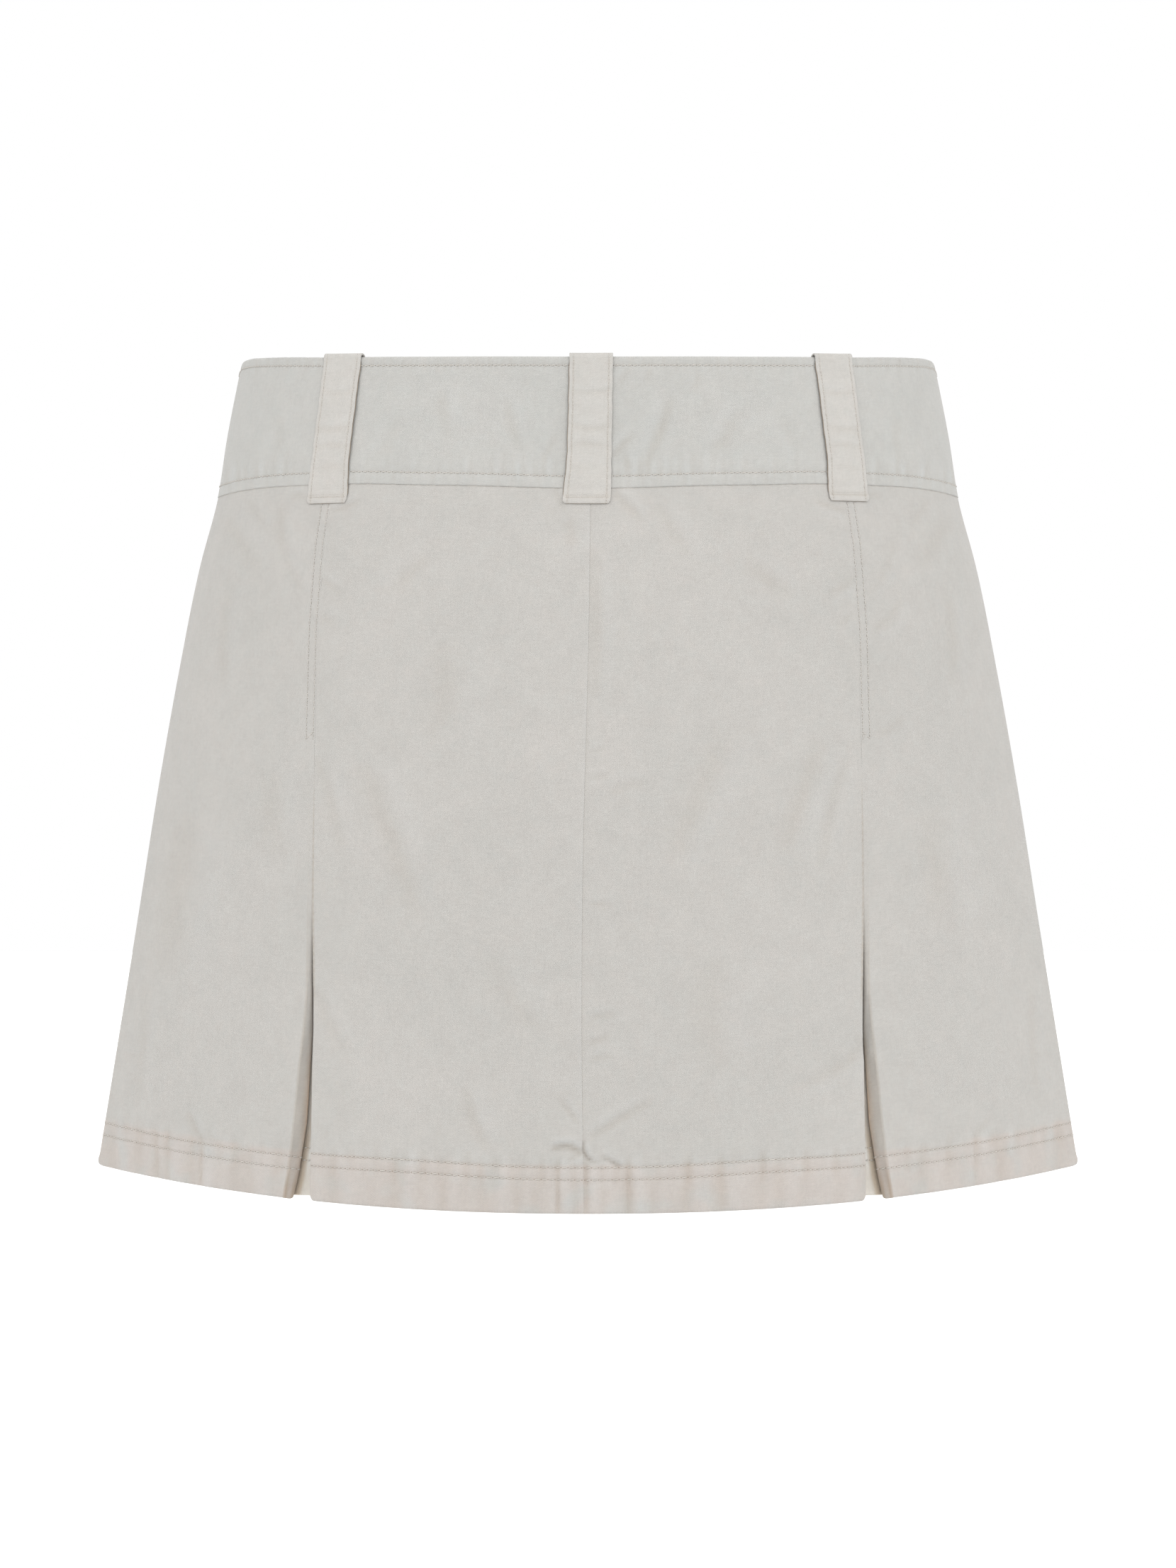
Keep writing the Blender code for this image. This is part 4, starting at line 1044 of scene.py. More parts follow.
# The length of a side panel's facet after its bend: what is left of the way to the pleat's line, over
# how far each step of the facet leads sideways.
def facetRead(z, hand):
    edge, opening, turnedIn = (pleatRead(z, column) for column in ("panelEdge", "opening", "turnedIn"))
    at, out = placeAt(edge + opening + turnedIn, z, -1, hand)
    onward = onwardFrom(out, -hand)
    bentOut, bentOnward = bentBy(np.radians(pleatRead(z, "turn"))[:, None], out, onward)
    bent = at + (bentOut - out) * pleat["bendRadius"] + onward * pleat["creep"]
    n, o = -hand * bentOut[:, :1], -hand * bentOnward[:, :1]
    pull = foldPull([v[:, None] for v in foldSizes(z)], n, o, z[:, None])
    return np.maximum((hand * bent[:, :1] - (edge + opening)[:, None] + pull) / o, 0.0004)


# Rounds a hem's corner: raises it by r - sqrt(r^2 - (r - away)^2) within r of an upright edge.
def cornerRise(away, radius, height):
    inside = np.clip(radius - away, 0, radius)
    return (radius - np.sqrt(radius**2 - inside**2)) * nearHem(height)


# The same at the side seam, where the skin is widest.
def roundSide(grid, z, heights):
    away = skinRead(z, "halfWidth") - np.abs(grid[..., 0])
    grid[..., 2] += cornerRise(away, panelLook["sideCorner"], heights)


# Columns past the skin's own follow the hem line on, and the corner at the fold is rounded.
def shapeHem(grids, t, z, drop, hand, towards, heights, slope=1.0, thinner=0.0):
    first = t.shape[1]
    for grid in grids:
        x = hand * grid[:, :, 0]
        onHem = hemLine(x[:, first:] / skinRead(z[:, -1:], "halfWidth"), -1) - hemLine(t[:, -1:], -1)
        grid[:, first:, 2] += slope * onHem * drop - thinner * nearHem(heights[:, first:])
        end = (x * towards).max(axis=1, keepdims=True)
        grid[..., 2] += cornerRise(end - x * towards, panelLook["foldCorner"], heights)


# Adds a column of points to each wall.
def addColumn(walls, plans, rowZ):
    for wall, plan in zip(walls, plans):
        wall.append(withHeight(plan, rowZ)[:, None])


# Half an oval round a fold, from the outside to the underside: b cos(a) outwards and a sin(a) onwards.
# Its inner wall is the same oval, smaller by the cloth's thickness.
def addFold(walls, middle, out, onward, a, b, rowZ):
    sizes = ((a, b), tuple(np.maximum(v - panelLook["wall"], 2e-5) for v in (a, b)))
    for step in range(1, pleat["foldSteps"] + 1):
        c, s = math.cos(math.pi * step / pleat["foldSteps"]), math.sin(math.pi * step / pleat["foldSteps"])
        addColumn(walls, [middle + out * down * c + onward * far * s for far, down in sizes], rowZ)


centreLook = {
    "span": 0.115,  # about how wide it is, for the spacing of its columns
    "fine": ((0.0, 0.0025, 0.0006), (0.115, 0.0025, 0.0006)),
    "seamDip": {-1: (0.00003, 0.0006), 1: (0.00014, 0.0012)},  # depth and reach on each side of the seam
    # seamTone is a painted highlight beside the centre back seam on the left panel and painted shade on the
    # right.
    "seamTone": {-1: -0.3, 1: 0.35},
    "seamToneReach": 0.001,
    "leastReturn": 0.004,
    "returnShares": (0.06, 0.25, 0.5, 0.75, 1.0),
    # edgeTone paints a dotted shade line where the pleat is sewn shut, and returnTone paints shade on the
    # part folded back behind.
    "edgeTone": 1.3,
    "returnTone": 1.6,
    "pitch": (0.002, 0.0009),  # length of a stitch near the pleat, and how much more it is further off
    "pitchFrom": (0.024, 0.034),
}


# A centre panel runs from the seam at the centre back to the pleat, round the fold and a little way
# back behind itself. Points lie on the skin, lifted by panelHeight and dipped at the seam.
def backCentre(name, hand):
    drop = panelRows(-1, panelLook["rowStep"])
    across = spacedPlaces(centreLook["span"], panelLook["colStep"], centreLook["fine"])
    across = across[None, :] / centreLook["span"]

    def tAt(z):
        seam = hand * smoothRead(-z, backSeam["down"], backSeam["x"]) + 0.000002
        edge = pleatRead(z, "panelEdge") + centrePull(z)
        return (seam + across * (edge - seam)) / skinRead(z, "halfWidth")

    t, z = settle(tAt, drop, -1)
    plan, out, height, row, x, lift, worn = panelSkin(t, z, hand, -1, False)
    fromSeam = (t - t[:, :1]) * skinRead(z, "halfWidth")
    dip, reach = centreLook["seamDip"][hand]
    lift -= dip * np.exp(-fromSeam / reach)
    # Painted highlight or painted shade beside the centre back seam.
    worn += centreLook["seamTone"][hand] * np.exp(-fromSeam / centreLook["seamToneReach"])
    outer, inner = ([wall] for wall in twoWalls(plan, out, lift, panelWall(height), z))
    edgeOut, rowZ = out[:, -1], z[:, -1]
    onward = onwardFrom(edgeOut, hand)
    a, b = (v[:, None] for v in foldSizes(rowZ))
    addFold((outer, inner), outer[0][:, -1, :2] - edgeOut * b, edgeOut, onward, a, b, rowZ)
    least = centreLook["leastReturn"]
    returned = least + (pleat["centreReturn"] - least) * pleatFree(rowZ)
    for share in centreLook["returnShares"]:
        at, back = placeAt(x[:, -1] - share * returned, rowZ, -1, hand)
        addColumn((outer, inner), (at - back * 2 * b, at - back * (2 * b - 0.8 * panelLook["wall"])), rowZ)
    outer, inner = np.concatenate(outer, axis=1), np.concatenate(inner, axis=1)
    own, more = t.shape[1], outer.shape[1] - t.shape[1]
    heights, worn, rowsAt = alike(height, more), alike(worn, more), alike(row, more)[-1]
    # A dotted line of painted shade along the sewn pleat edge, and painted shade on the hidden return.
    seamLine = easeIn(-rowZ, 0.17, 0.19) * (1 - easeIn(-rowZ, 0.262, 0.275))
    seamLine = seamLine * (1 + 0.4 * np.sin(rowZ * 2600))
    worn[:, own - 1:own + 3] += centreLook["edgeTone"] * seamLine[:, None]
    worn[:, own + 3:] = centreLook["returnTone"]
    shapeHem((outer, inner), t, z, drop, hand, 1, heights)
    normals = gridNormals(outer, inner)
    sewn = []
    for k in range(2):
        line, up = hemSewing(outer, normals, heights, rowsAt + k * hemSizes["rowGap"], range(1, own + 4))
        short, longer = centreLook["pitch"]
        fromPleat = runAlong(line[::-1])[::-1]
        pitch = short + longer * easeIn(fromPleat, *centreLook["pitchFrom"])
        sewn.append(sewLine(line, up, pitch, seed=11 + k + hand))
    uv = mapOf(hand * runAlong(outer[-1])[None, :], z[:, :1])
    piece = clothPiece(name, outer, inner, uv, skirtTwill, (0.3, 1, 1, 0), tone=foldTone(heights), worn=worn)
    registerCloth(piece, sewn)


sideLook = {
    "span": 0.105,
    "fine": ((0.105, 0.006, 0.0006), (0.0, 0.002, 0.0008)),
    "seamGroove": (0.0002, 0.0007),  # depth and width under the row beside the pleat's seam
    "bendShares": np.arange(1, 7) / 6,
    "facetShares": (0.2, 0.4, 0.6, 0.8, 1.0),
    "returnShares": (0.5, 1.0),
    "wobble": (0.00024, 0.021),  # height and length of the waves in the facet
    "dent": (0.00016, 0.55, 0.3),  # depth, place and width of the dent between the two sewn rows
    # Painted shade on the pleat's bend, facet, fold and return; facetGlow and foldGlow are painted light
    # passed on inside the fold.
    "bendTone": 1.2,
    "facetTone": (0.8, 0.6, 0.6, 1.0, 1.3),
    "foldTone": 1.2,
    "returnTone": 2.0,
    "lowTone": (1.5, 0.004, 0.016),  # how much more painted shade low down, and from which height to which it fades
    "facetGlow": (0.05, 0.1, 0.15, 0.28, 0.42),
    "foldGlow": 0.95,
    "pitch": 0.0027,
    "rowPitch": 0.0028,
    "tackPitch": 0.0018,
}


# A side panel runs from the side seam to the pleat, where its edge bends in, runs flat and folds under.
# Above the pleat it is sewn flat against the centre panel, with two topstitched rows beside the seam.
def backSide(name, hand):
    drop = panelRows(-1, panelLook["rowStep"])
    across = spacedPlaces(sideLook["span"], panelLook["colStep"], sideLook["fine"])
    across = 1 - across[None, :] / sideLook["span"]

    def tAt(z):
        edge = pleatRead(z, "panelEdge") + pleatRead(z, "opening") + pleatRead(z, "turnedIn")
        angle = np.arcsin(edge / skinRead(z, "halfWidth"))
        return np.sin(angle + (math.pi / 2 - angle) * across)

    t, z = settle(tAt, drop, -1)
    plan, out, height, row, x, lift, worn = panelSkin(t, z, hand, -1, True)
    sewnPart = 1 - easeIn(-z, pleat["sewnTo"] - 0.002, pleat["sewnTo"] + 0.003)
    deep, wide = sideLook["seamGroove"]
    lift -= sewnPart * deep * bell(x - pleatRead(z, "panelEdge") - pleat["rows"][0], wide)
    outerPlan = plan + out * lift[..., None]
    wall = panelLook["wall"]
    full = easeIn(x - x[:, -1:], 0.0, 0.0035)
    innerPlan = plan + out * (lift - wall - (panelWall(height) - wall) * full)[..., None]
    outerPlan[:, 0, 1] = innerPlan[:, 0, 1] = -0.00003
    outer, inner = [withHeight(outerPlan, z)], [withHeight(innerPlan, z)]
    walls = (outer, inner)
    edgeOut, rowZ = out[:, -1], z[:, -1]
    onward = onwardFrom(edgeOut, -hand)
    turn = np.radians(pleatRead(rowZ, "turn"))[:, None]
    bentShare = np.sin(turn) / math.sin(math.radians(pleat["turn"][-1]))
    a, b = (v[:, None] for v in foldSizes(rowZ))
    radius, creep = pleat["bendRadius"], pleat["creep"]
    centre = outerPlan[:, -1] - edgeOut * radius
    for share in sideLook["bendShares"]:
        ray = bentBy(turn * share, edgeOut, onward)[0]
        addColumn(walls, [centre + onward * creep * share + ray * r for r in (radius, radius - wall)], rowZ)
    bentOut, bentOnward = bentBy(turn, edgeOut, onward)
    facet = facetRead(rowZ, hand)
    last = outer[-1][:, 0, :2]
    wobble = ripple(sideLook["wobble"], rowZ, 40 + hand)[:, None] * easeIn(-rowZ, 0.24, 0.29)[:, None]
    deep, place, wide = sideLook["dent"]
    dent = deep * (sewnPart[:, -1:] > 0.5)
    for share in sideLook["facetShares"]:
        off = wobble * math.sin(math.pi * share) - dent * math.exp(-((share - place) / wide) ** 2)
        at = last + bentOnward * facet * share + bentOut * off
        addColumn(walls, (at, at - bentOut * wall), rowZ)
    middle = last + bentOnward * facet - bentOut * b
    addFold(walls, middle, bentOut, bentOnward, a, b, rowZ)
    returned = np.minimum(pleat["sideReturn"], 0.8 * facet + 0.0045 * (1 - bentShare))
    for share in sideLook["returnShares"]:
        back = middle - bentOut * b - bentOnward * returned * share
        addColumn(walls, (back, back + bentOut * 0.8 * wall), rowZ)
    outer, inner = np.concatenate(outer, axis=1), np.concatenate(inner, axis=1)
    own, more = t.shape[1], outer.shape[1] - t.shape[1]
    heights, rowsAt = alike(height, more), alike(row, more)[-1]
    thinner = panelLook["hemExtra"] / 2
    shapeHem((outer, inner), t, z, drop, hand, -1, heights, 2.0, thinner)
    for grid in (outer, inner):
        grid[:, :own, 2] -= thinner * (1 - full) * nearHem(height)
        roundSide(grid, z[:, :1], heights)
    normals = gridNormals(outer, inner)
    # The pleat's bend, facet, fold and return get painted shade, heavier low down, and painted light passed
    # on inside the fold.
    strong, low, high = sideLook["lowTone"]
    darker = 1 + strong * (1 - easeIn(heights[:, :1], low, high))
    bends, folds = len(sideLook["bendShares"]), pleat["foldSteps"]
    returns = more - bends - len(sideLook["facetShares"]) - folds
    shaded = np.concatenate([
        sideLook["bendTone"] * np.linspace(0.1, 1, bends) ** 0.5, sideLook["facetTone"],
        np.full(folds, sideLook["foldTone"]), np.full(returns, sideLook["returnTone"]),
    ])
    worn = np.concatenate([worn, bentShare * darker * shaded], axis=1)
    inFold = np.full(folds + returns, sideLook["foldGlow"])
    lit = np.concatenate([np.zeros(bends), sideLook["facetGlow"], inFold])
    inside = easeIn(heights[:, :1], 0.004, 0.042) * easeIn(-z[:, :1], 0.27, 0.31)
    glow = np.concatenate([np.zeros(t.shape), lit * bentShare * inside], axis=1)
    cols, gap = range(2, own + 15), hemSizes["rowGap"]
    sewn = hemRows(outer, normals, heights, rowsAt, gap, cols, sideLook["pitch"], 21 + hand)
    keep = np.flatnonzero((rowZ < waistSeam(0.6) - 0.001) & (rowZ > -pleat["sewnTo"])).astype(float)
    ends = []
    for k, away in enumerate(pleat["rows"]):
        target = -(pleatRead(rowZ, "panelEdge") + away)
        upTo = np.arange(own + 12)
        cols = np.array([np.interp(target[int(r)], -hand * outer[int(r), upTo, 0], upTo) for r in keep])
        line, up = onCloth(outer, normals, keep, cols)
        sewn.append(sewLine(line, up, sideLook["rowPitch"], seed=31 + k + hand, slant=0.6, thickness=0.8))
        ends.append((line[-1 - 2 * k], up[-1]))
    tack = np.linspace(0, 1, 6)[:, None]
    across, up = ends[0][0] * (1 - tack) + ends[1][0] * tack, np.repeat(ends[0][1][None], 6, axis=0)
    sewn.append(sewLine(across, up, sideLook["tackPitch"], seed=35 + hand))
    uv = mapOf(hand * (0.3 - runAlong(outer[-1])[None, :]), z[:, :1])
    piece = clothPiece(name, outer, inner, uv, skirtTwill, swell=(0.3, 1, 1, 0), tone=foldTone(heights),
                       worn=worn, glow=glow)
    registerCloth(piece, sewn)


underlay = {
    "top": -0.156,
    "shorter": 0.0014,
    "pastSide": 0.01,
    "wall": 0.0009,
    "hemRow": 0.0144,
    "rowGap": 0.0052,
    "underCentre": 0.0225,  # how far it reaches behind the centre panel, and its depth there
    "shallow": 0.0028,
    "clear": 0.0005,  # gap behind the side panel's fold
    "waves": (0.00018, 0.028),
    "groove": (0.0002, 0.0008),
    "sewn": (0.32, 0.92),  # which part of its width shows and is sewn
    "pitch": 0.0024,
    "behindFold": (3.0, 0.0009, 0.0012),  # the shade behind the centre panel's fold: tone, place, width
    "inNarrow": (2.8, 0.9, 0.0012),  # the light strip where the pleat is narrow: tone, place, width
}


# The strip behind both folds. It lies shallow under the centre panel and steps down to clear the
# side panel's fold; its depth between the two is eased.
def pleatUnderlay(name, hand):
    low = hemLine(0.6, -1) + underlay["shorter"]
    length = underlay["top"] - low
    z = underlay["top"] - spacedPlaces(length, 0.0024, [(length, 0.022, 0.0014)])[:, None]
    edge, opening = pleatRead(z, "panelEdge"), pleatRead(z, "opening")
    end = opening + pleatRead(z, "turnedIn") + underlay["pastSide"]
    share = spacedPlaces(1.0, 0.034, [(0.58, 0.11, 0.009)])[None, :]
    reach = -underlay["underCentre"] + (end + underlay["underCentre"]) * share
    z = np.repeat(z, share.shape[1], axis=1)
    plan = skinPlan(hand * (edge + reach) / skinRead(z, "halfWidth"), z, -1)
    out = planOut(plan, -1)
    turn = np.radians(pleatRead(z, "turn"))
    facet = facetRead(z[:, 0], hand)
    deep = pleat["bendRadius"] * (1 - np.cos(turn)) + facet * np.sin(turn)
    deep = deep + pleat["foldRadius"] * (1 + np.cos(turn))
    step, shallow = easeIn(reach, -0.004, opening), underlay["shallow"]
    waves = ripple(underlay["waves"], z, 60 + hand)
    depth = shallow + (deep + underlay["clear"] - shallow) * step - waves
    height = z - low
    deep, wide = underlay["groove"]
    upper = height - underlay["hemRow"]
    depth += deep * (bell(upper, wide) + bell(upper - underlay["rowGap"], wide))
    outer, inner = twoWalls(plan, out, -depth, underlay["wall"], z)
    normals = gridNormals(outer, inner)
    first, last = underlay["sewn"]
    cols = np.flatnonzero((share[0] > first) & (share[0] < last))
    row, gap = np.full(share.shape[1], underlay["hemRow"]), underlay["rowGap"]
    sewn = hemRows(outer, normals, height, row, gap, cols, underlay["pitch"], 61 + hand)
    tone, place, wide = underlay["behindFold"]
    behind = np.clip(opening + place - reach, 0, None)
    worn = tone * np.exp(-(behind / wide) ** 2) * easeIn(opening, 0.0015, 0.0035)
    tone, place, wide = underlay["inNarrow"]
    narrow = easeIn(opening, 0.0015, 0.003) * (1 - easeIn(opening, 0.0036, 0.0056))
    worn = worn - tone * bell(reach - place * opening, wide) * narrow
    piece = clothPiece(name, outer, inner, mapOf(hand * reach, z), underlayTwill, worn=worn)
    registerCloth(piece, sewn)


hands = (("Left", -1), ("Right", 1))
for word, hand in hands:
    backCentre("backCentre" + word, hand)
    backSide("backSide" + word, hand)
    pleatUnderlay("pleatUnderlay" + word, hand)
print("back panels and underlays ready")

bandLook = {
    "wall": 0.0024,
    "stand": 0.0002,
    "step": 0.0013,
    "backStep": 0.0011,
    "frontStep": 0.0014,
    "meanRadius": 0.155,
    "rim": 0.001,  # how far the rolled top edge reaches past the flat of the band
    "lowRim": 0.0,
    "topRow": 0.0037,
    "lowerT": (0, 0.6, 0.8, 0.93, 1),
    "lowerRow": (0.005, 0.005, 0.0049, 0.0047, 0.0047),
    "lapHalf": 0.018,
    "lapRamp": (0.09, 0.19),
    "lapLift": 0.0027,  # how far the upper lap stands off the lower one
    "lapRow": 0.0032,
    "groove": (0.0001, 0.0008),  # depth and width under each sewn row
    "puffs": (0.00012, 0.00022),  # between the upper row and the top, and between the lower row and the seam
    "ridges": ((0.00008, 0.0075), (0.0001, 0.0034)),  # inside each row: height, and how far in
    "ridgeWidth": 0.0022,
    "topPuckers": (0.00014, 0.0028),  # height and length
    "rowPuckers": (0.0003, 0.0044),
    "seamPuckers": (0.00012, 0.0034),
    "waves": (0.00018, 0.047),
    "creaseStrength": 0.9,
    # toneStrength and rowTone set the band's painted shading: painted shade in its pucker hollows and along
    # its sewn rows, painted highlight on its ridges.
    "toneStrength": 1.3,
    "rowTone": (0.3, 0.0005),
    "creases": (
        (11, 42, 14, 37.5, 19, 33, 1.5, 0.45), (14.7, 39, 16, 43.5, 17.4, 48, 1.3, 0.36),
        (23.6, 46.5, 30, 32, 35, 16, 2.2, 0.5), (50.7, 41, 58, 33, 63, 21, 2.6, 0.28),
        (-62, 13, -60.6, 24, -58, 34, 2.4, 0.28), (-34, 17, -32, 28.5, -28, 40, 2.2, 0.36),
        (13.5, 12, 15, 8, 17.4, 4.5, 1.3, 0.3), (24, 12, 25, 8, 26, 4.5, 1.2, 0.26),
        (43.6, 14, 45.7, 10.6, 47, 5.5, 1.5, 0.3), (-20, 44, -16, 38, -13, 30, 1.8, 0.22),
        (-90, 44, -84, 36, -80, 24, 2.6, 0.18), (90, 40, 84, 30, 80, 20, 2.6, 0.16),
        (-134, 42, -131, 32, -132, 22, 2.0, 0.22), (134, 44, 131, 33, 132, 22, 2.0, 0.22),
    ),
    "frontCreases": (
        (-44, 40, -38, 30, -36, 16, 2.2, 0.34), (46, 42, 38, 32, 33, 20, 2.4, 0.36),
        (-66, 12, -64, 22, -60, 34, 2.2, 0.26), (68, 14, 64, 26, 63, 38, 2.2, 0.26),
        (-112, 40, -106, 30, -104, 18, 2.4, 0.28), (112, 40, 107, 28, 105, 16, 2.4, 0.28),
        (-26, 12, -24, 18, -24, 26, 1.6, 0.26), (-132, 42, -130, 30, -131, 20, 2.0, 0.22),
    ),
}


# The band's relief: grooves under its two sewn rows, a puffed strip along each edge, small puckers that
# fade away from the rows, and creases.
def bandHeightMap(x, z, t, side, top, seam):
    fromTop, fromSeam = top - z, z - seam
    row = smoothRead(np.abs(t), bandLook["lowerT"], bandLook["lowerRow"])
    total = -hump(bandLook["groove"], fromTop - bandLook["topRow"]) - hump(bandLook["groove"], fromSeam - row)
    total += bandLook["puffs"][0] * np.sin(math.pi * np.clip(fromTop / bandLook["topRow"], 0, 1))
    total += bandLook["puffs"][1] * np.sin(math.pi * np.clip(fromSeam / row, 0, 1)) ** 0.8
    (tall, inside), (tallLow, insideLow) = bandLook["ridges"]
    wide = bandLook["ridgeWidth"]
    total += tall * bell(fromTop - inside, wide) + tallLow * bell(fromSeam - row - insideLow, wide)
    edge = 1 - easeIn(fromTop, 0.0035, 0.0085)
    puckers = ripple(bandLook["topPuckers"], x, 71 + side) * edge * easeIn(fromTop, -0.001, 0.002)
    strong = 0.35 + 0.65 * np.clip(
        bell(x + 0.028, 0.022) + bell(x - 0.03, 0.024) + easeIn(np.abs(x), 0.115, 0.13), 0, 1)
    above = easeIn(fromSeam, row - 0.002, row + 0.0006) * (1 - easeIn(fromSeam, row + 0.003, row + 0.0105))
    puckers += ripple(bandLook["rowPuckers"], x, 75 + side) * above * strong
    below = 1 - easeIn(fromSeam, row - 0.001, row + 0.001)
    puckers += ripple(bandLook["seamPuckers"], x, 78 + side) * below
    creases = bandLook["creases" if side < 0 else "frontCreases"]
    puckers += bandLook["creaseStrength"] * creaseHeight(x, z, creases)
    across = np.sin(math.pi * np.clip(fromTop / (top - seam), 0, 1))
    total += ripple(bandLook["waves"], x, 81 + side) * across
    fade = 1 - easeIn(np.abs(t), 0.985, 1.0)
    # The tone is painted shading: painted shade in pucker hollows and along the sewn rows, painted highlight
    # on ridges.
    strength, wide = bandLook["rowTone"]
    rowTone = bell(fromTop - bandLook["topRow"], wide) + bell(fromSeam - row, wide)
    return (total + puckers) * fade, paintedShadingFrom(bandLook["toneStrength"] * puckers * fade) + strength * rowTone


# A stretch of the band over its places t, from the rolled top edge down to the rolled edge at the seam,
# moved out by lift where it laps over.
def bandPiece(name, t, side, lift, extraRow=None):
    length = edges["bandHeight"]
    fine = [(bandLook["topRow"], 0.0018, 0.0006), (length - 0.0055, 0.0025, 0.0006), (0, 0.0012, 0.0006),
            (length, 0.0012, 0.0006)]
    drop = spacedPlaces(length, bandLook["step"], fine)[:, None] / length
    top, seam = bandTop(t)[None, :], waistSeam(t)[None, :]
    z = top - bandLook["rim"] + (seam - top + bandLook["rim"] + bandLook["lowRim"]) * drop
    t = np.repeat(t[None, :], len(drop), axis=0)
    plan = skinPlan(t, z, side)
    out = planOut(plan, side)
    x = t * skinRead(z, "halfWidth")
    height, worn = bandHeightMap(x, z, t, side, top, seam)
    height = height + bandLook["stand"] + lift[None, :]
    outerPlan = plan + out * height[..., None]
    innerPlan = plan + out * (lift[None, :] - bandLook["wall"] + bandLook["stand"])[..., None]
    for column in (0, -1):
        if abs(t[0, column]) > 0.999:
            outerPlan[:, column, 1] = innerPlan[:, column, 1] = side * 0.00003
    outer, inner = withHeight(outerPlan, z), withHeight(innerPlan, z)
    normals = gridNormals(outer, inner)
    fromTop, fromSeam = top - z, z - seam
    cols = range(2, t.shape[1] - 2)
    lower = smoothRead(np.abs(t[0]), bandLook["lowerT"], bandLook["lowerRow"])
    upper = np.full(t.shape[1], -bandLook["topRow"])
    sewn = [
        sewLine(*hemSewing(outer, normals, -fromTop, upper, cols), seed=85 + side),
        sewLine(*hemSewing(outer, normals, fromSeam, lower, cols), seed=88 + side),
    ]
    if extraRow is not None:
        across = runAlong(outer[len(outer) // 2])
        inset = int(np.argmin(np.abs(across - across[-1] + extraRow)))
        rows = np.linspace(4, len(outer) - 6, 40)
        sewn.append(sewLine(*onCloth(outer, normals, rows, np.full(40, float(inset))), seed=92))
    uv = mapOf(runAlong(outer[-1])[None, :] * math.copysign(1, t[0, -1] - t[0, 0]), z)
    piece = clothPiece(name, outer, inner, uv, bandTwill, swell=(0.85, 0.9, 0.18, 0.9), loops=7, worn=worn)
    registerCloth(piece, sewn)


# Places t round the band: sines of evenly spaced angles, an odd number of them.
def bandPlaces(first, last, step):
    count = 2 * int(round(abs(last - first) * bandLook["meanRadius"] / step / 2)) + 1
    return np.sin(np.linspace(first, last, count))


places = bandPlaces(-math.pi / 2, math.pi / 2, bandLook["backStep"])
bandPiece("waistbandBack", places, -1, np.zeros(len(places)))
lapped = math.asin(bandLook["lapHalf"] / skinRead(0.0, "halfWidth"))
for word, hand in hands:
    places = bandPlaces(math.pi / 2, -lapped, bandLook["frontStep"])
    ramp = 1 - easeIn(places - math.sin(lapped), *bandLook["lapRamp"])
    lift = bandLook["lapLift"] * ramp if hand > 0 else np.zeros(len(places))
    bandPiece("waistbandFront" + word, hand * places, 1, lift,
              extraRow=bandLook["lapRow"] if hand > 0 else None)
print("waistband ready")

loopLook = {
    "width": 0.0187,
    "footWidth": 0.0208,
    "wall": 0.0007,
    "stand": 0.00022,
    "slack": 0.0002,
    "curve": 0.0006,  # how far the lifted edge curves in at half its height
    "cord": 0.00021,  # a dark cord of painted shade in the gap under the lifted edge
    "topRise": 0.0024,
    "rowIn": 0.0016,
    "tackUp": 0.0026,
    "tackGap": 0.001,
    "groove": (0.00005, 0.0006),  # depth and width under the long rows
    "tackGroove": (0.0001, 0.0008),
    "edgePuckers": (0.00007, 0.0037),  # height and length
    "edgeWaves": (0.00012, 0.009),
    "pressed": (0.0003, 0.0005),  # how far its edges are pressed down, and how soon that fades
    "corner": 0.0012,
    "turnSteps": 12,  # rings over the band's top edge
    "places": {  # side, top x, foot x, which edge is lifted, how far the foot reaches below the seam
        "beltLoopBackLeft": (-1, -0.1031, -0.1101, 1, 0.008),
        "beltLoopBackCentre": (-1, 0.0014, -0.0005, -1, 0.0063),
        "beltLoopBackRight": (-1, 0.1032, 0.1101, -1, 0.007),
        "beltLoopFrontLeft": (1, -0.086, -0.09, 1, 0.007),
        "beltLoopFrontRight": (1, 0.086, 0.09, -1, 0.007),
    },
    "creases": (  # across and down from the band's top, in millimetres
        (-9, 14.5, 0, 15.5, 9, 14.0, 1.2, 0.26), (-9, 29.0, 1, 30.5, 9, 29.5, 1.3, 0.3),
        (-9, 38.0, 0, 37.2, 9, 38.5, 1.2, 0.26), (-8, 47.0, -1, 46.2, 7, 47.2, 1.4, 0.16),
    ),
}


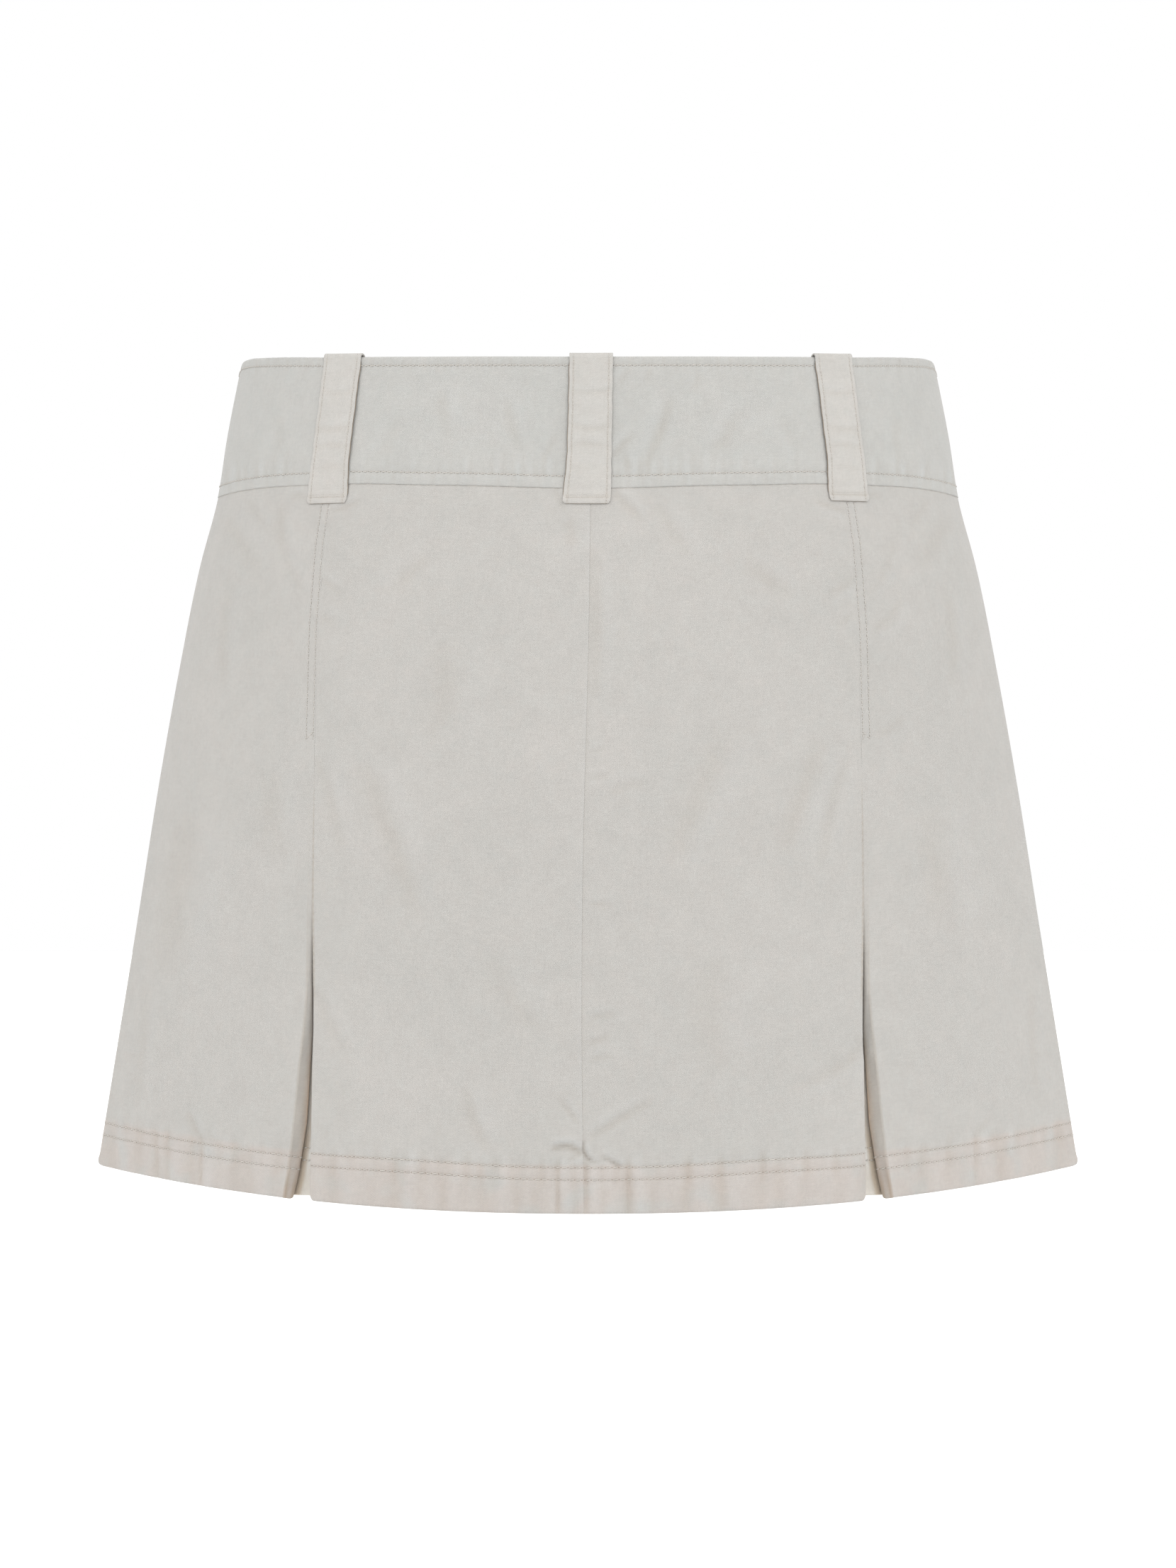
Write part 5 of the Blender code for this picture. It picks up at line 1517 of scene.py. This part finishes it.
# A strip over the band, from its foot below the seam up and over the top edge. Between the two it bows
# off the band, most at its lifted edge: lift = gap + slack bow(u) (0.45 + 0.55 edge v).
def beltLoop(name):
    side, topX, footX, lifted, belowSeam = loopLook["places"][name]
    topT = topX / skinRead(0.0, "halfWidth")
    top, foot = bandTop(topT), waistSeam(topT) - belowSeam
    half = (loopLook["width"] - loopLook["wall"]) / 2
    widen = loopLook["footWidth"] / loopLook["width"] - 1
    fine = [(place, 0.001, 0.0004) for place in (loopLook["rowIn"], 2 * half - loopLook["rowIn"])]
    v = (spacedPlaces(2 * half, 0.001, fine) / half - 1)[None, :]
    straight = spacedPlaces(top - foot - 0.001, 0.0011, [(loopLook["tackUp"], 0.001, 0.0006)])
    share = (straight / (top - foot))[:, None]
    bow = np.sin(np.pi * np.clip((share - 0.12) / 0.8, 0, 1)) ** 0.7
    z = np.repeat(foot + straight[:, None], v.shape[1], axis=1)
    width = skinRead(z, "halfWidth")
    middle = (footX + (topX - footX) * share) / width
    near, far = (skinPlan(np.clip(middle + step, -1, 1), z, side) for step in (-0.02, 0.02))
    along = unit(far - near)
    curved = loopLook["curve"] * (bow + 0.8 * bell(share - 0.3, 0.16))
    across = v * half * (1 + widen * (1 - share)) - lifted * curved * (0.5 + 0.5 * lifted * v)
    t = middle + across * along[..., 0] / width
    skinAt = skinPlan(t, z, side)
    out = np.stack([along[..., 1], -along[..., 0]], axis=-1)
    out *= np.sign(out[:, :1, 1:2]) * side
    seed = 300 + int(topX * 1000)
    mirrored = math.copysign(1, topX)
    relief = creaseHeight(v * half * mirrored + 0 * z, z - top, loopLook["creases"])
    edgeIn = half * (1 - np.abs(v))
    relief -= hump(loopLook["groove"], edgeIn - loopLook["rowIn"])
    deep, far = loopLook["pressed"]
    pressed = deep * np.exp(-np.minimum(edgeIn + 0 * z, straight[:, None]) / far)
    relief += ripple(loopLook["edgePuckers"], z, seed) * (1 - easeIn(edgeIn, 0.0015, 0.0042))
    relief -= hump(loopLook["tackGroove"], straight[:, None] - loopLook["tackUp"])
    edgeWobble = ripple(loopLook["edgeWaves"], z[:, :1], seed + 3)
    lift = loopLook["stand"] + loopLook["slack"] * bow * (0.5 + 0.5 * lifted * v) ** 1.5
    lift = lift + 0.0004 * easeIn(share, 0.1, 0.13)
    skinAt = skinAt + along * edgeWobble[..., None]
    z = z + cornerRise(edgeIn + 0 * z, loopLook["corner"], straight[:, None])
    outer = [withHeight(skinAt + out * (lift + relief - pressed + loopLook["wall"])[..., None], z)]
    inner = [withHeight(skinAt + out * (lift + 0.3 * relief)[..., None], z)]
    rest, face, liftTop = skinAt[-1], out[-1], lift[-1][:, None]
    topZ = bandTop(t[-1]) - 0.001
    middleDepth = -0.001
    steps = loopLook["turnSteps"]
    for step in range(1, steps + 1):
        angle = math.radians(180 / steps * step)
        c, s = math.cos(angle), math.sin(angle)
        r, rise = liftTop - middleDepth, loopLook["topRise"] * (1 - 0.6 * (step / steps) ** 1.5)
        outer.append(withHeight(rest + face * (middleDepth + (r + loopLook["wall"]) * c),
                                topZ + (rise + loopLook["wall"]) * s)[None])
        inner.append(withHeight(rest + face * (middleDepth + r * c), topZ + rise * s)[None])
    outer, inner = np.concatenate(outer), np.concatenate(inner)
    normals = gridNormals(outer, inner)
    sewn = []
    for k in (-1, 1):
        at = half - k * (half - loopLook["rowIn"])
        column = np.interp(at / half - 1, v[0], np.arange(v.shape[1]))
        line, up = onCloth(outer, normals, np.linspace(1, len(straight) + 2, 90), np.full(90, column))
        sewn.append(sewLine(line, up, 0.0031, seed=seed + k, thickness=0.45))
    for k in range(2):
        row = np.interp(loopLook["tackUp"] + loopLook["tackGap"] * k, straight, np.arange(len(straight)))
        line, up = onCloth(outer, normals, np.full(30, row), np.linspace(1, v.shape[1] - 2, 30))
        sewn.append(sewLine(line, up, 0.0009, seed=seed + 7 + k, thickness=0.34, slant=0.5, holes=False))
    # Dark cords of painted shade: in the gap under the lifted edge and under the foot's lower edge.
    edgeAt = -1 if lifted > 0 else 0
    side3 = np.concatenate([along[:, edgeAt], np.zeros((len(along), 1))], axis=1) * lifted
    low = inner[:len(along), edgeAt] + side3 * loopLook["cord"] * 0.4 + normals[:len(along), edgeAt] * 0.0001
    sewn.append(edgeCord(low[3:-1], normals[3:len(along) - 1, edgeAt], loopLook["cord"]))
    under = inner[0, 2:-2] - np.array([0, 0, 0.00012])
    sewn.append(edgeCord(under, normals[0, 2:-2], 0.0001))
    run = runAlong(outer[:, outer.shape[1] // 2])[:, None]
    # Painted shade along the bar tack's rows and beside the long sewn rows, painted shade in the relief's
    # hollows and painted highlight on its ridges.
    upTack = straight - loopLook["tackUp"]
    tackTone = bell(upTack, 0.0003) + bell(upTack - loopLook["tackGap"], 0.0003)
    worn = paintedShadingFrom(1.3 * relief) + 0.7 * (tackTone[:, None] + bell(edgeIn - loopLook["rowIn"], 0.0003))
    worn = np.concatenate([worn, np.zeros((steps, v.shape[1]))])
    piece = clothPiece(name, outer, inner, mapOf(v * half, run), loopTwill, (0.4, 0.4, 0.4, 0.4), worn=worn)
    registerCloth(piece, sewn)


for name in loopLook["places"]:
    beltLoop(name)
print("belt loops ready")


frontLook = {
    "span": 0.225,  # about how wide it is, for the spacing of its columns
    "seamDip": (0.0003, 0.0012),  # depth and reach at the centre front
}


# A front panel runs from the side seam to the seam at the centre front.
def frontPanel(name, hand):
    drop = panelRows(1, panelLook["frontStep"])
    count = 2 * int(round(frontLook["span"] / panelLook["frontStep"] / 2)) + 1
    t = np.sin(np.linspace(math.pi / 2, 0, count))[None, :] + 0.0
    t = np.repeat(t, len(drop), axis=0)
    z = panelDown(t, drop, 1)
    plan, out, height, row, x, lift, worn = panelSkin(t, z, hand, 1, False)
    plan[:, -1, 0] = hand * 0.00003
    out = planOut(plan, 1)
    deep, far = frontLook["seamDip"]
    lift -= deep * np.exp(-x / far)
    outer, inner = twoWalls(plan, out, lift, panelWall(height), z)
    outer[:, 0, 1] = inner[:, 0, 1] = 0.00003
    for grid in (outer, inner):
        roundSide(grid, z, height)
    normals = gridNormals(outer, inner)
    cols, gap = range(2, t.shape[1] - 1), hemSizes["rowGap"]
    sewn = hemRows(outer, normals, height, row[-1], gap, cols, None, 121 + hand)
    run = runAlong(outer[-1])
    uv = mapOf(hand * (run[-1] - run)[None, :], z)
    piece = clothPiece(name, outer, inner, uv, skirtTwill, (0.3, 0, 1, 0), tone=foldTone(height), worn=worn)
    registerCloth(piece, sewn)


placket = {
    "half": 0.018,
    "length": 0.13,
    "rounding": 0.012,
    "wall": 0.0012,
    "stand": 0.00045,
    "rowIn": 0.0022,
    "rowGap": 0.005,
    "columns": 31,
    "puff": (0.00016, 0.0045),  # height, and how far in from the edge it is reached
    "groove": (0.00022, 0.0007),
    "puckers": (0.00012, 0.0052),
    "cornerShare": 0.2,  # how much of a sewn row's length goes round its lower end
    "cornerDepth": 0.01,
}


# The strip over the top of the centre front seam, rounded at its lower end and sewn down all round.
def flyPlacket():
    half, count = placket["half"], placket["columns"]
    v = np.linspace(-1, 1, count)[None, :]
    x = v * half
    top = waistSeam(x / skinRead(-0.055, "halfWidth")) - 0.0006
    low = placket["rounding"] * (1 - np.sqrt(1 - v * v)) - placket["length"]
    share = spacedPlaces(1, 0.0125, [(1, 0.03, 0.006)])[:, None]
    z = top + low * share
    x = np.repeat(x, len(share), axis=0)
    plan = skinPlan(x / skinRead(z, "halfWidth"), z, 1)
    out = planOut(plan, 1)
    inside = np.minimum(half - np.abs(x), z - top - low)
    tall, rampEnd = placket["puff"]
    relief = tall * easeIn(inside, 0.0, rampEnd) - hump(placket["groove"], inside - placket["rowIn"])
    relief += ripple(placket["puckers"], z, 131) * (1 - easeIn(inside, 0.003, 0.006))
    outer = withHeight(plan + out * (placket["stand"] + relief + placket["wall"] * 0.85)[..., None], z)
    inner = withHeight(plan + out * placket["stand"], z)
    normals = gridNormals(outer, inner)
    bend = np.linspace(-1, 1, 160)
    corner, turnDeep = placket["cornerShare"], placket["cornerDepth"]
    upright = np.abs(bend) > corner
    sewn = []
    for k, away in enumerate((placket["rowIn"], placket["rowIn"] + placket["rowGap"])):
        w = half - away
        down = placket["length"] - away - 0.003
        px = np.where(upright, np.sign(bend) * w, w * np.sin(bend / corner * math.pi / 2))
        turned = np.cos(np.clip(bend / corner, -1, 1) * math.pi / 2)
        straight = (1 - np.abs(bend)) / (1 - corner) * (down - turnDeep)
        depth = np.where(upright, straight, down - turnDeep + turnDeep * turned)
        pz = top[0, count // 2] - depth
        cols = np.interp(px / half, v[0], np.arange(count))
        rows = np.array([np.interp(-h, -gridColumn(z, c), np.arange(len(z))) for h, c in zip(pz, cols)])
        sewn.append(sewLine(*onCloth(outer, normals, rows, cols), seed=133 + k))
    piece = clothPiece("flyPlacket", outer, inner, mapOf(x, z), skirtTwill, tone=np.zeros(z.shape))
    registerCloth(piece, sewn)


# A grid's values down a fractional column, straight between its two neighbours.
def gridColumn(grid, column):
    c = min(int(column), grid.shape[1] - 2)
    return grid[:, c] + (grid[:, c + 1] - grid[:, c]) * (column - c)


for word, hand in hands:
    frontPanel("front" + word, hand)
flyPlacket()
print("front ready")

button = {
    "holeRadius": 0.001,
    "holeOff": 0.0018,
    "sides": 64,
    "step": 0.0005,
    "stand": 0.0004,
    "strandGap": 0.00035,
    "profile": (  # radius and height in millimetres, from the back's middle round to the face's middle
        (0.0, 0.0), (4.0, 0.0), (7.0, 0.25), (8.2, 0.8), (8.5, 1.5), (8.35, 2.2), (7.9, 2.8), (7.2, 3.0),
        (6.6, 2.85), (6.1, 2.4), (5.4, 2.05), (3.5, 1.9), (0.0, 1.9),
    ),
    "places": {
        "buttonBandUpper": -0.015, "buttonBandLower": -0.04,
        "buttonFlyUpper": -0.088, "buttonFlyLower": -0.138,
    },
}


# A round button: its profile is rounded by a cubic, then turned about its axis.
def buttonMesh():
    rough = np.array(button["profile"]) / 1000
    along = runAlong(rough)
    at = spacedPlaces(along[-1], button["step"], [(along[4], 0.003, button["step"] / 2)])
    radius = np.maximum(np.interp(at, along, rough[:, 0]), 0)
    height = smoothRead(at, along, rough[:, 1])
    sides, rows = button["sides"], len(at) - 2
    turn = np.linspace(0, 2 * math.pi, sides + 1)[:-1]
    ring = np.stack([
        radius[1:-1, None] * np.cos(turn), radius[1:-1, None] * np.sin(turn),
        np.repeat(height[1:-1, None], sides, axis=1),
    ], axis=-1).reshape(-1, 3)
    points = np.concatenate([ring, [(0, 0, height[0]), (0, 0, height[-1])]])
    grid = np.arange(rows * sides).reshape(rows, sides)
    grid = np.concatenate([grid, grid[:, :1]], axis=1)
    a, b = grid[0, :-1], grid[0, 1:]
    c, d = grid[-1, :-1], grid[-1, 1:]
    back, face = a * 0 + rows * sides, a * 0 + rows * sides + 1
    caps = np.concatenate([np.stack([a, b, back], axis=-1), np.stack([d, c, face], axis=-1)])
    disc = meshPiece("buttonDisc", points, [quadsOf(grid), caps], [buttonResin])
    drills = []
    for k in range(4):
        angle = math.pi / 4 + k * math.pi / 2
        bpy.ops.mesh.primitive_cylinder_add(vertices=20, radius=button["holeRadius"], depth=0.012, location=(
            button["holeOff"] * math.cos(angle), button["holeOff"] * math.sin(angle), 0))
        drills.append(bpy.context.object)
        cut = disc.modifiers.new("hole", "BOOLEAN")
        cut.operation = "DIFFERENCE"
        cut.object = drills[-1]
    bpy.context.view_layer.update()
    mesh = bpy.data.meshes.new_from_object(disc.evaluated_get(bpy.context.evaluated_depsgraph_get()))
    for helper in drills + [disc]:
        bpy.data.objects.remove(helper, do_unlink=True)
    return mesh


# Turns points that lie face up at the origin so that they face forward on the band or the placket.
def placeOnFront(points, z, carried):
    rise = skinRead(z - 0.005, "frontDepth") - skinRead(z + 0.005, "frontDepth")
    angle = -math.pi / 2 + math.atan2(rise, 0.01)
    y = points[:, 1] * math.cos(angle) - points[:, 2] * math.sin(angle)
    up = points[:, 1] * math.sin(angle) + points[:, 2] * math.cos(angle)
    return np.stack([points[:, 0], y + skinRead(z, "frontDepth") + carried, up + z], axis=-1)


# A plain short line of thread on the front: no needle holes and no slant.
def frontThread(points, z, carried, **look):
    up = np.repeat([[0, 1.0, 0]], len(points), axis=0)
    return sewLine(placeOnFront(points, z, carried), up, 0.02, holes=False, slant=0.0, **look)


# Thread between the holes: bars of three strands that arch a little over the dish.
def buttonThread(z, carried):
    sewn = []
    u = np.linspace(-1, 1, 9)
    reach = button["holeOff"] * 0.72
    for k, off in enumerate((-1, 1)):
        for strand in (-1, 0, 1):
            across = np.full(9, off * button["holeOff"] * 0.72 + strand * button["strandGap"])
            height = 0.002 + 0.00055 * (1 - u**4) - 0.0006 * (np.abs(u) > 0.9) + 0.0001 * (strand == 0)
            points = np.stack([u * (reach + 0.0004), across, height], axis=-1)
            sewn.append(frontThread(points, z, carried, seed=140 + k))
    return sewn


buttonhole = {
    "from": 0.0075,  # where its rows start and end, out from the button's middle
    "to": 0.0168,
    "stitchGap": 0.00042,
    "slit": 0.00018,  # half the gap between its two rows
    "stitch": 0.0011,
    "barAt": 0.0164,
    "barHalf": 0.0013,
    "barStitch": 0.0012,
    "thickness": 0.8,
    "carried": 0.003,
}


# A worked buttonhole: two lines of close upright stitches beside a slit, with a bar at its end.
def buttonholeThread(z):
    look, u, lines, sewn = buttonhole, np.linspace(0, 1, 4), [], []
    for x in np.arange(look["from"], look["to"], look["stitchGap"]):
        for side in (-1, 1):
            lines.append([np.full(4, x), side * (look["slit"] + look["stitch"] * u), np.full(4, 0.00006)])
    for y in np.arange(-look["barHalf"], look["barHalf"] + 0.00001, look["stitchGap"]):
        lines.append([look["barAt"] + look["barStitch"] * u, np.full(4, y), np.full(4, 0.00012)])
    for line in lines:
        sewn.append(frontThread(np.stack(line, axis=-1), z, look["carried"], thickness=look["thickness"]))
    return sewn


# Copies the drilled disc to each place, with its thread, and a buttonhole for those on the band.
def makeButtons():
    mesh = buttonMesh()
    base = np.empty(len(mesh.vertices) * 3, np.float32)
    mesh.vertices.foreach_get("co", base)
    for name, z in button["places"].items():
        onBand = "Band" in name
        carried = (bandLook["lapLift"] if onBand else 0.0015) + button["stand"]
        own = mesh.copy()
        points = placeOnFront(base.reshape(-1, 3), z, carried)
        own.vertices.foreach_set("co", points.astype(np.float32).ravel())
        own.shade_smooth()
        own.set_sharp_from_angle(angle=math.radians(40))
        piece = bpy.data.objects.new(name, own)
        bpy.context.scene.collection.objects.link(piece)
        carry(piece)
        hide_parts(nodeName(name))
        carry(sewnPiece(name + "Thread", buttonThread(z, carried)))
        if onBand:
            carry(sewnPiece(name + "Hole", buttonholeThread(z)))


makeButtons()
print("buttons ready")

shorts = {
    "down": (0.045, 0.056, 0.075, 0.11, 0.15, 0.18, 0.205, 0.22, 0.229, 0.235, 0.26, 0.3),
    "halfWidth": (0.157, 0.158, 0.161, 0.166, 0.17, 0.172, 0.173, 0.1735, 0.1738, 0.174, 0.1755, 0.1775),
    "backDepth": (0.096, 0.097, 0.099, 0.1, 0.099, 0.094, 0.088, 0.084, 0.082, 0.081, 0.08, 0.08),
    "frontDepth": (0.09, 0.091, 0.092, 0.092, 0.09, 0.087, 0.084, 0.0815, 0.08, 0.079, 0.078, 0.078),
    "legCentre": (0, 0, 0, 0, 0.006, 0.023, 0.048, 0.069, 0.08, 0.0872, 0.0895, 0.0915),
    "ownShape": (0, 0, 0.4, 1, 1, 1, 1, 1, 1, 1, 1, 1),
    "inset": (0.0028, 0.0046, 0.0046, 0.0046, 0.0046, 0.0046, 0.0046, 0.0046, 0.0046, 0.0046, 0.0046, 0.0046),
    "wall": 0.001,
    "midGap": 0.00015,
    "hemRow": 0.018,
    "rowGap": 0.0016,  # the second row lies below the first
    "top": -0.045,
    "length": 0.255,
    "fine": ((0.183, 0.004, 0.0012), (0.237, 0.003, 0.001), (0.255, 0.002, 0.001)),
    "columns": 111,
    "drag": (0.0007, 0.0085),  # the pulls that run from the fork: height and length
    "waves": (0.0006, 0.055),
    "groove": (0.00025, 0.0009),
    "hemPuckers": (0.00012, 0.008),
    "pitch": 0.003,
}


# Unit normals in plan of a closed path: a quarter turn from its direction.
def shortsOut(path):
    along = np.gradient(path, axis=1)
    return unit(np.stack([-along[..., 1], along[..., 0]], axis=-1))


# One half of the shorts, a single cut from the centre front round the side to the centre back. Each
# level is a mix of the skirt's ring, set in, and the leg's own arc about its own centre.
def shortsLeg(name, hand):
    down = spacedPlaces(shorts["length"], 0.0034, shorts["fine"])
    around = np.linspace(0, 1, shorts["columns"])[None, :]
    z = np.repeat(shorts["top"] - down[:, None], around.shape[1], axis=1)

    def read(column):
        return np.interp(-z, shorts["down"], shorts[column])

    around = np.repeat(around, len(z), axis=0)
    t = np.sin(np.pi * np.where(around <= 0.5, around, 1 - around))
    follow = np.where((around <= 0.5)[..., None], skinPlan(t, z, 1), skinPlan(t, z, -1))
    follow = follow - shortsOut(follow) * read("inset")[..., None]
    centre = read("legCentre")
    radius = read("halfWidth") - centre
    reach = np.arccos(np.clip((shorts["midGap"] - centre) / radius, -1, 1))
    reach = np.minimum(reach, math.pi - shorts["midGap"] / read("backDepth"))
    angle = reach * (1 - 2 * around)
    depth = np.where(angle > 0, read("frontDepth"), read("backDepth"))
    own = np.stack([centre + radius * np.cos(angle), depth * np.sin(angle)], axis=-1)
    mix = read("ownShape")[..., None]
    plan = follow * (1 - mix) + own * mix
    joined = centre[:, 0] + shorts["midGap"] < radius[:, 0]
    plan[joined, 0, 0] = plan[joined, -1, 0] = shorts["midGap"]
    out = shortsOut(plan)
    height = z + 0.3
    drag = bell(around - 0.06, 0.05) + bell(around - 0.94, 0.05)
    soft = easeIn(-z, 0.1, 0.16) * (1 - easeIn(np.abs(around - 0.5), 0.47, 0.5))
    tall, length = shorts["drag"]
    relief = tall * np.sin((z + 0.35 * np.abs(around - 0.5)) / length) * drag * bell(z + 0.222, 0.035) * soft
    relief += ripple(shorts["waves"], around * 0.5, 150 + hand) * soft
    relief -= hump(shorts["groove"], height - shorts["hemRow"])
    relief += ripple(shorts["hemPuckers"], around * 0.5, 153 + hand) * (1 - easeIn(height, 0.018, 0.024))
    outer, inner = twoWalls(plan, out, relief, shorts["wall"], z)
    for grid in (outer, inner):
        grid[joined, :, 0] = np.maximum(grid[joined, :, 0], shorts["midGap"])
    normals = gridNormals(outer, inner)
    row, cols = np.full(outer.shape[1], shorts["hemRow"]), range(1, shorts["columns"] - 1)
    sewn = hemRows(outer, normals, height, row, -shorts["rowGap"], cols, shorts["pitch"], 155 + hand,
                   holes=False, thickness=0.85)
    uv = mapOf(around * 0.5, z)
    flip = np.array([hand, 1, 1])
    for part in sewn:
        part[0] = (part[0][0] * flip, part[0][1][:, ::hand], part[0][2])
    outer, inner, tone = outer * flip, inner * flip, np.zeros(z.shape)
    piece = clothPiece(name, outer, inner, uv, shortsCotton, (1, 0, 1, 0), tone=tone)
    registerCloth(piece, sewn)


for word, hand in hands:
    shortsLeg("shorts" + word, hand)
print("shorts ready")
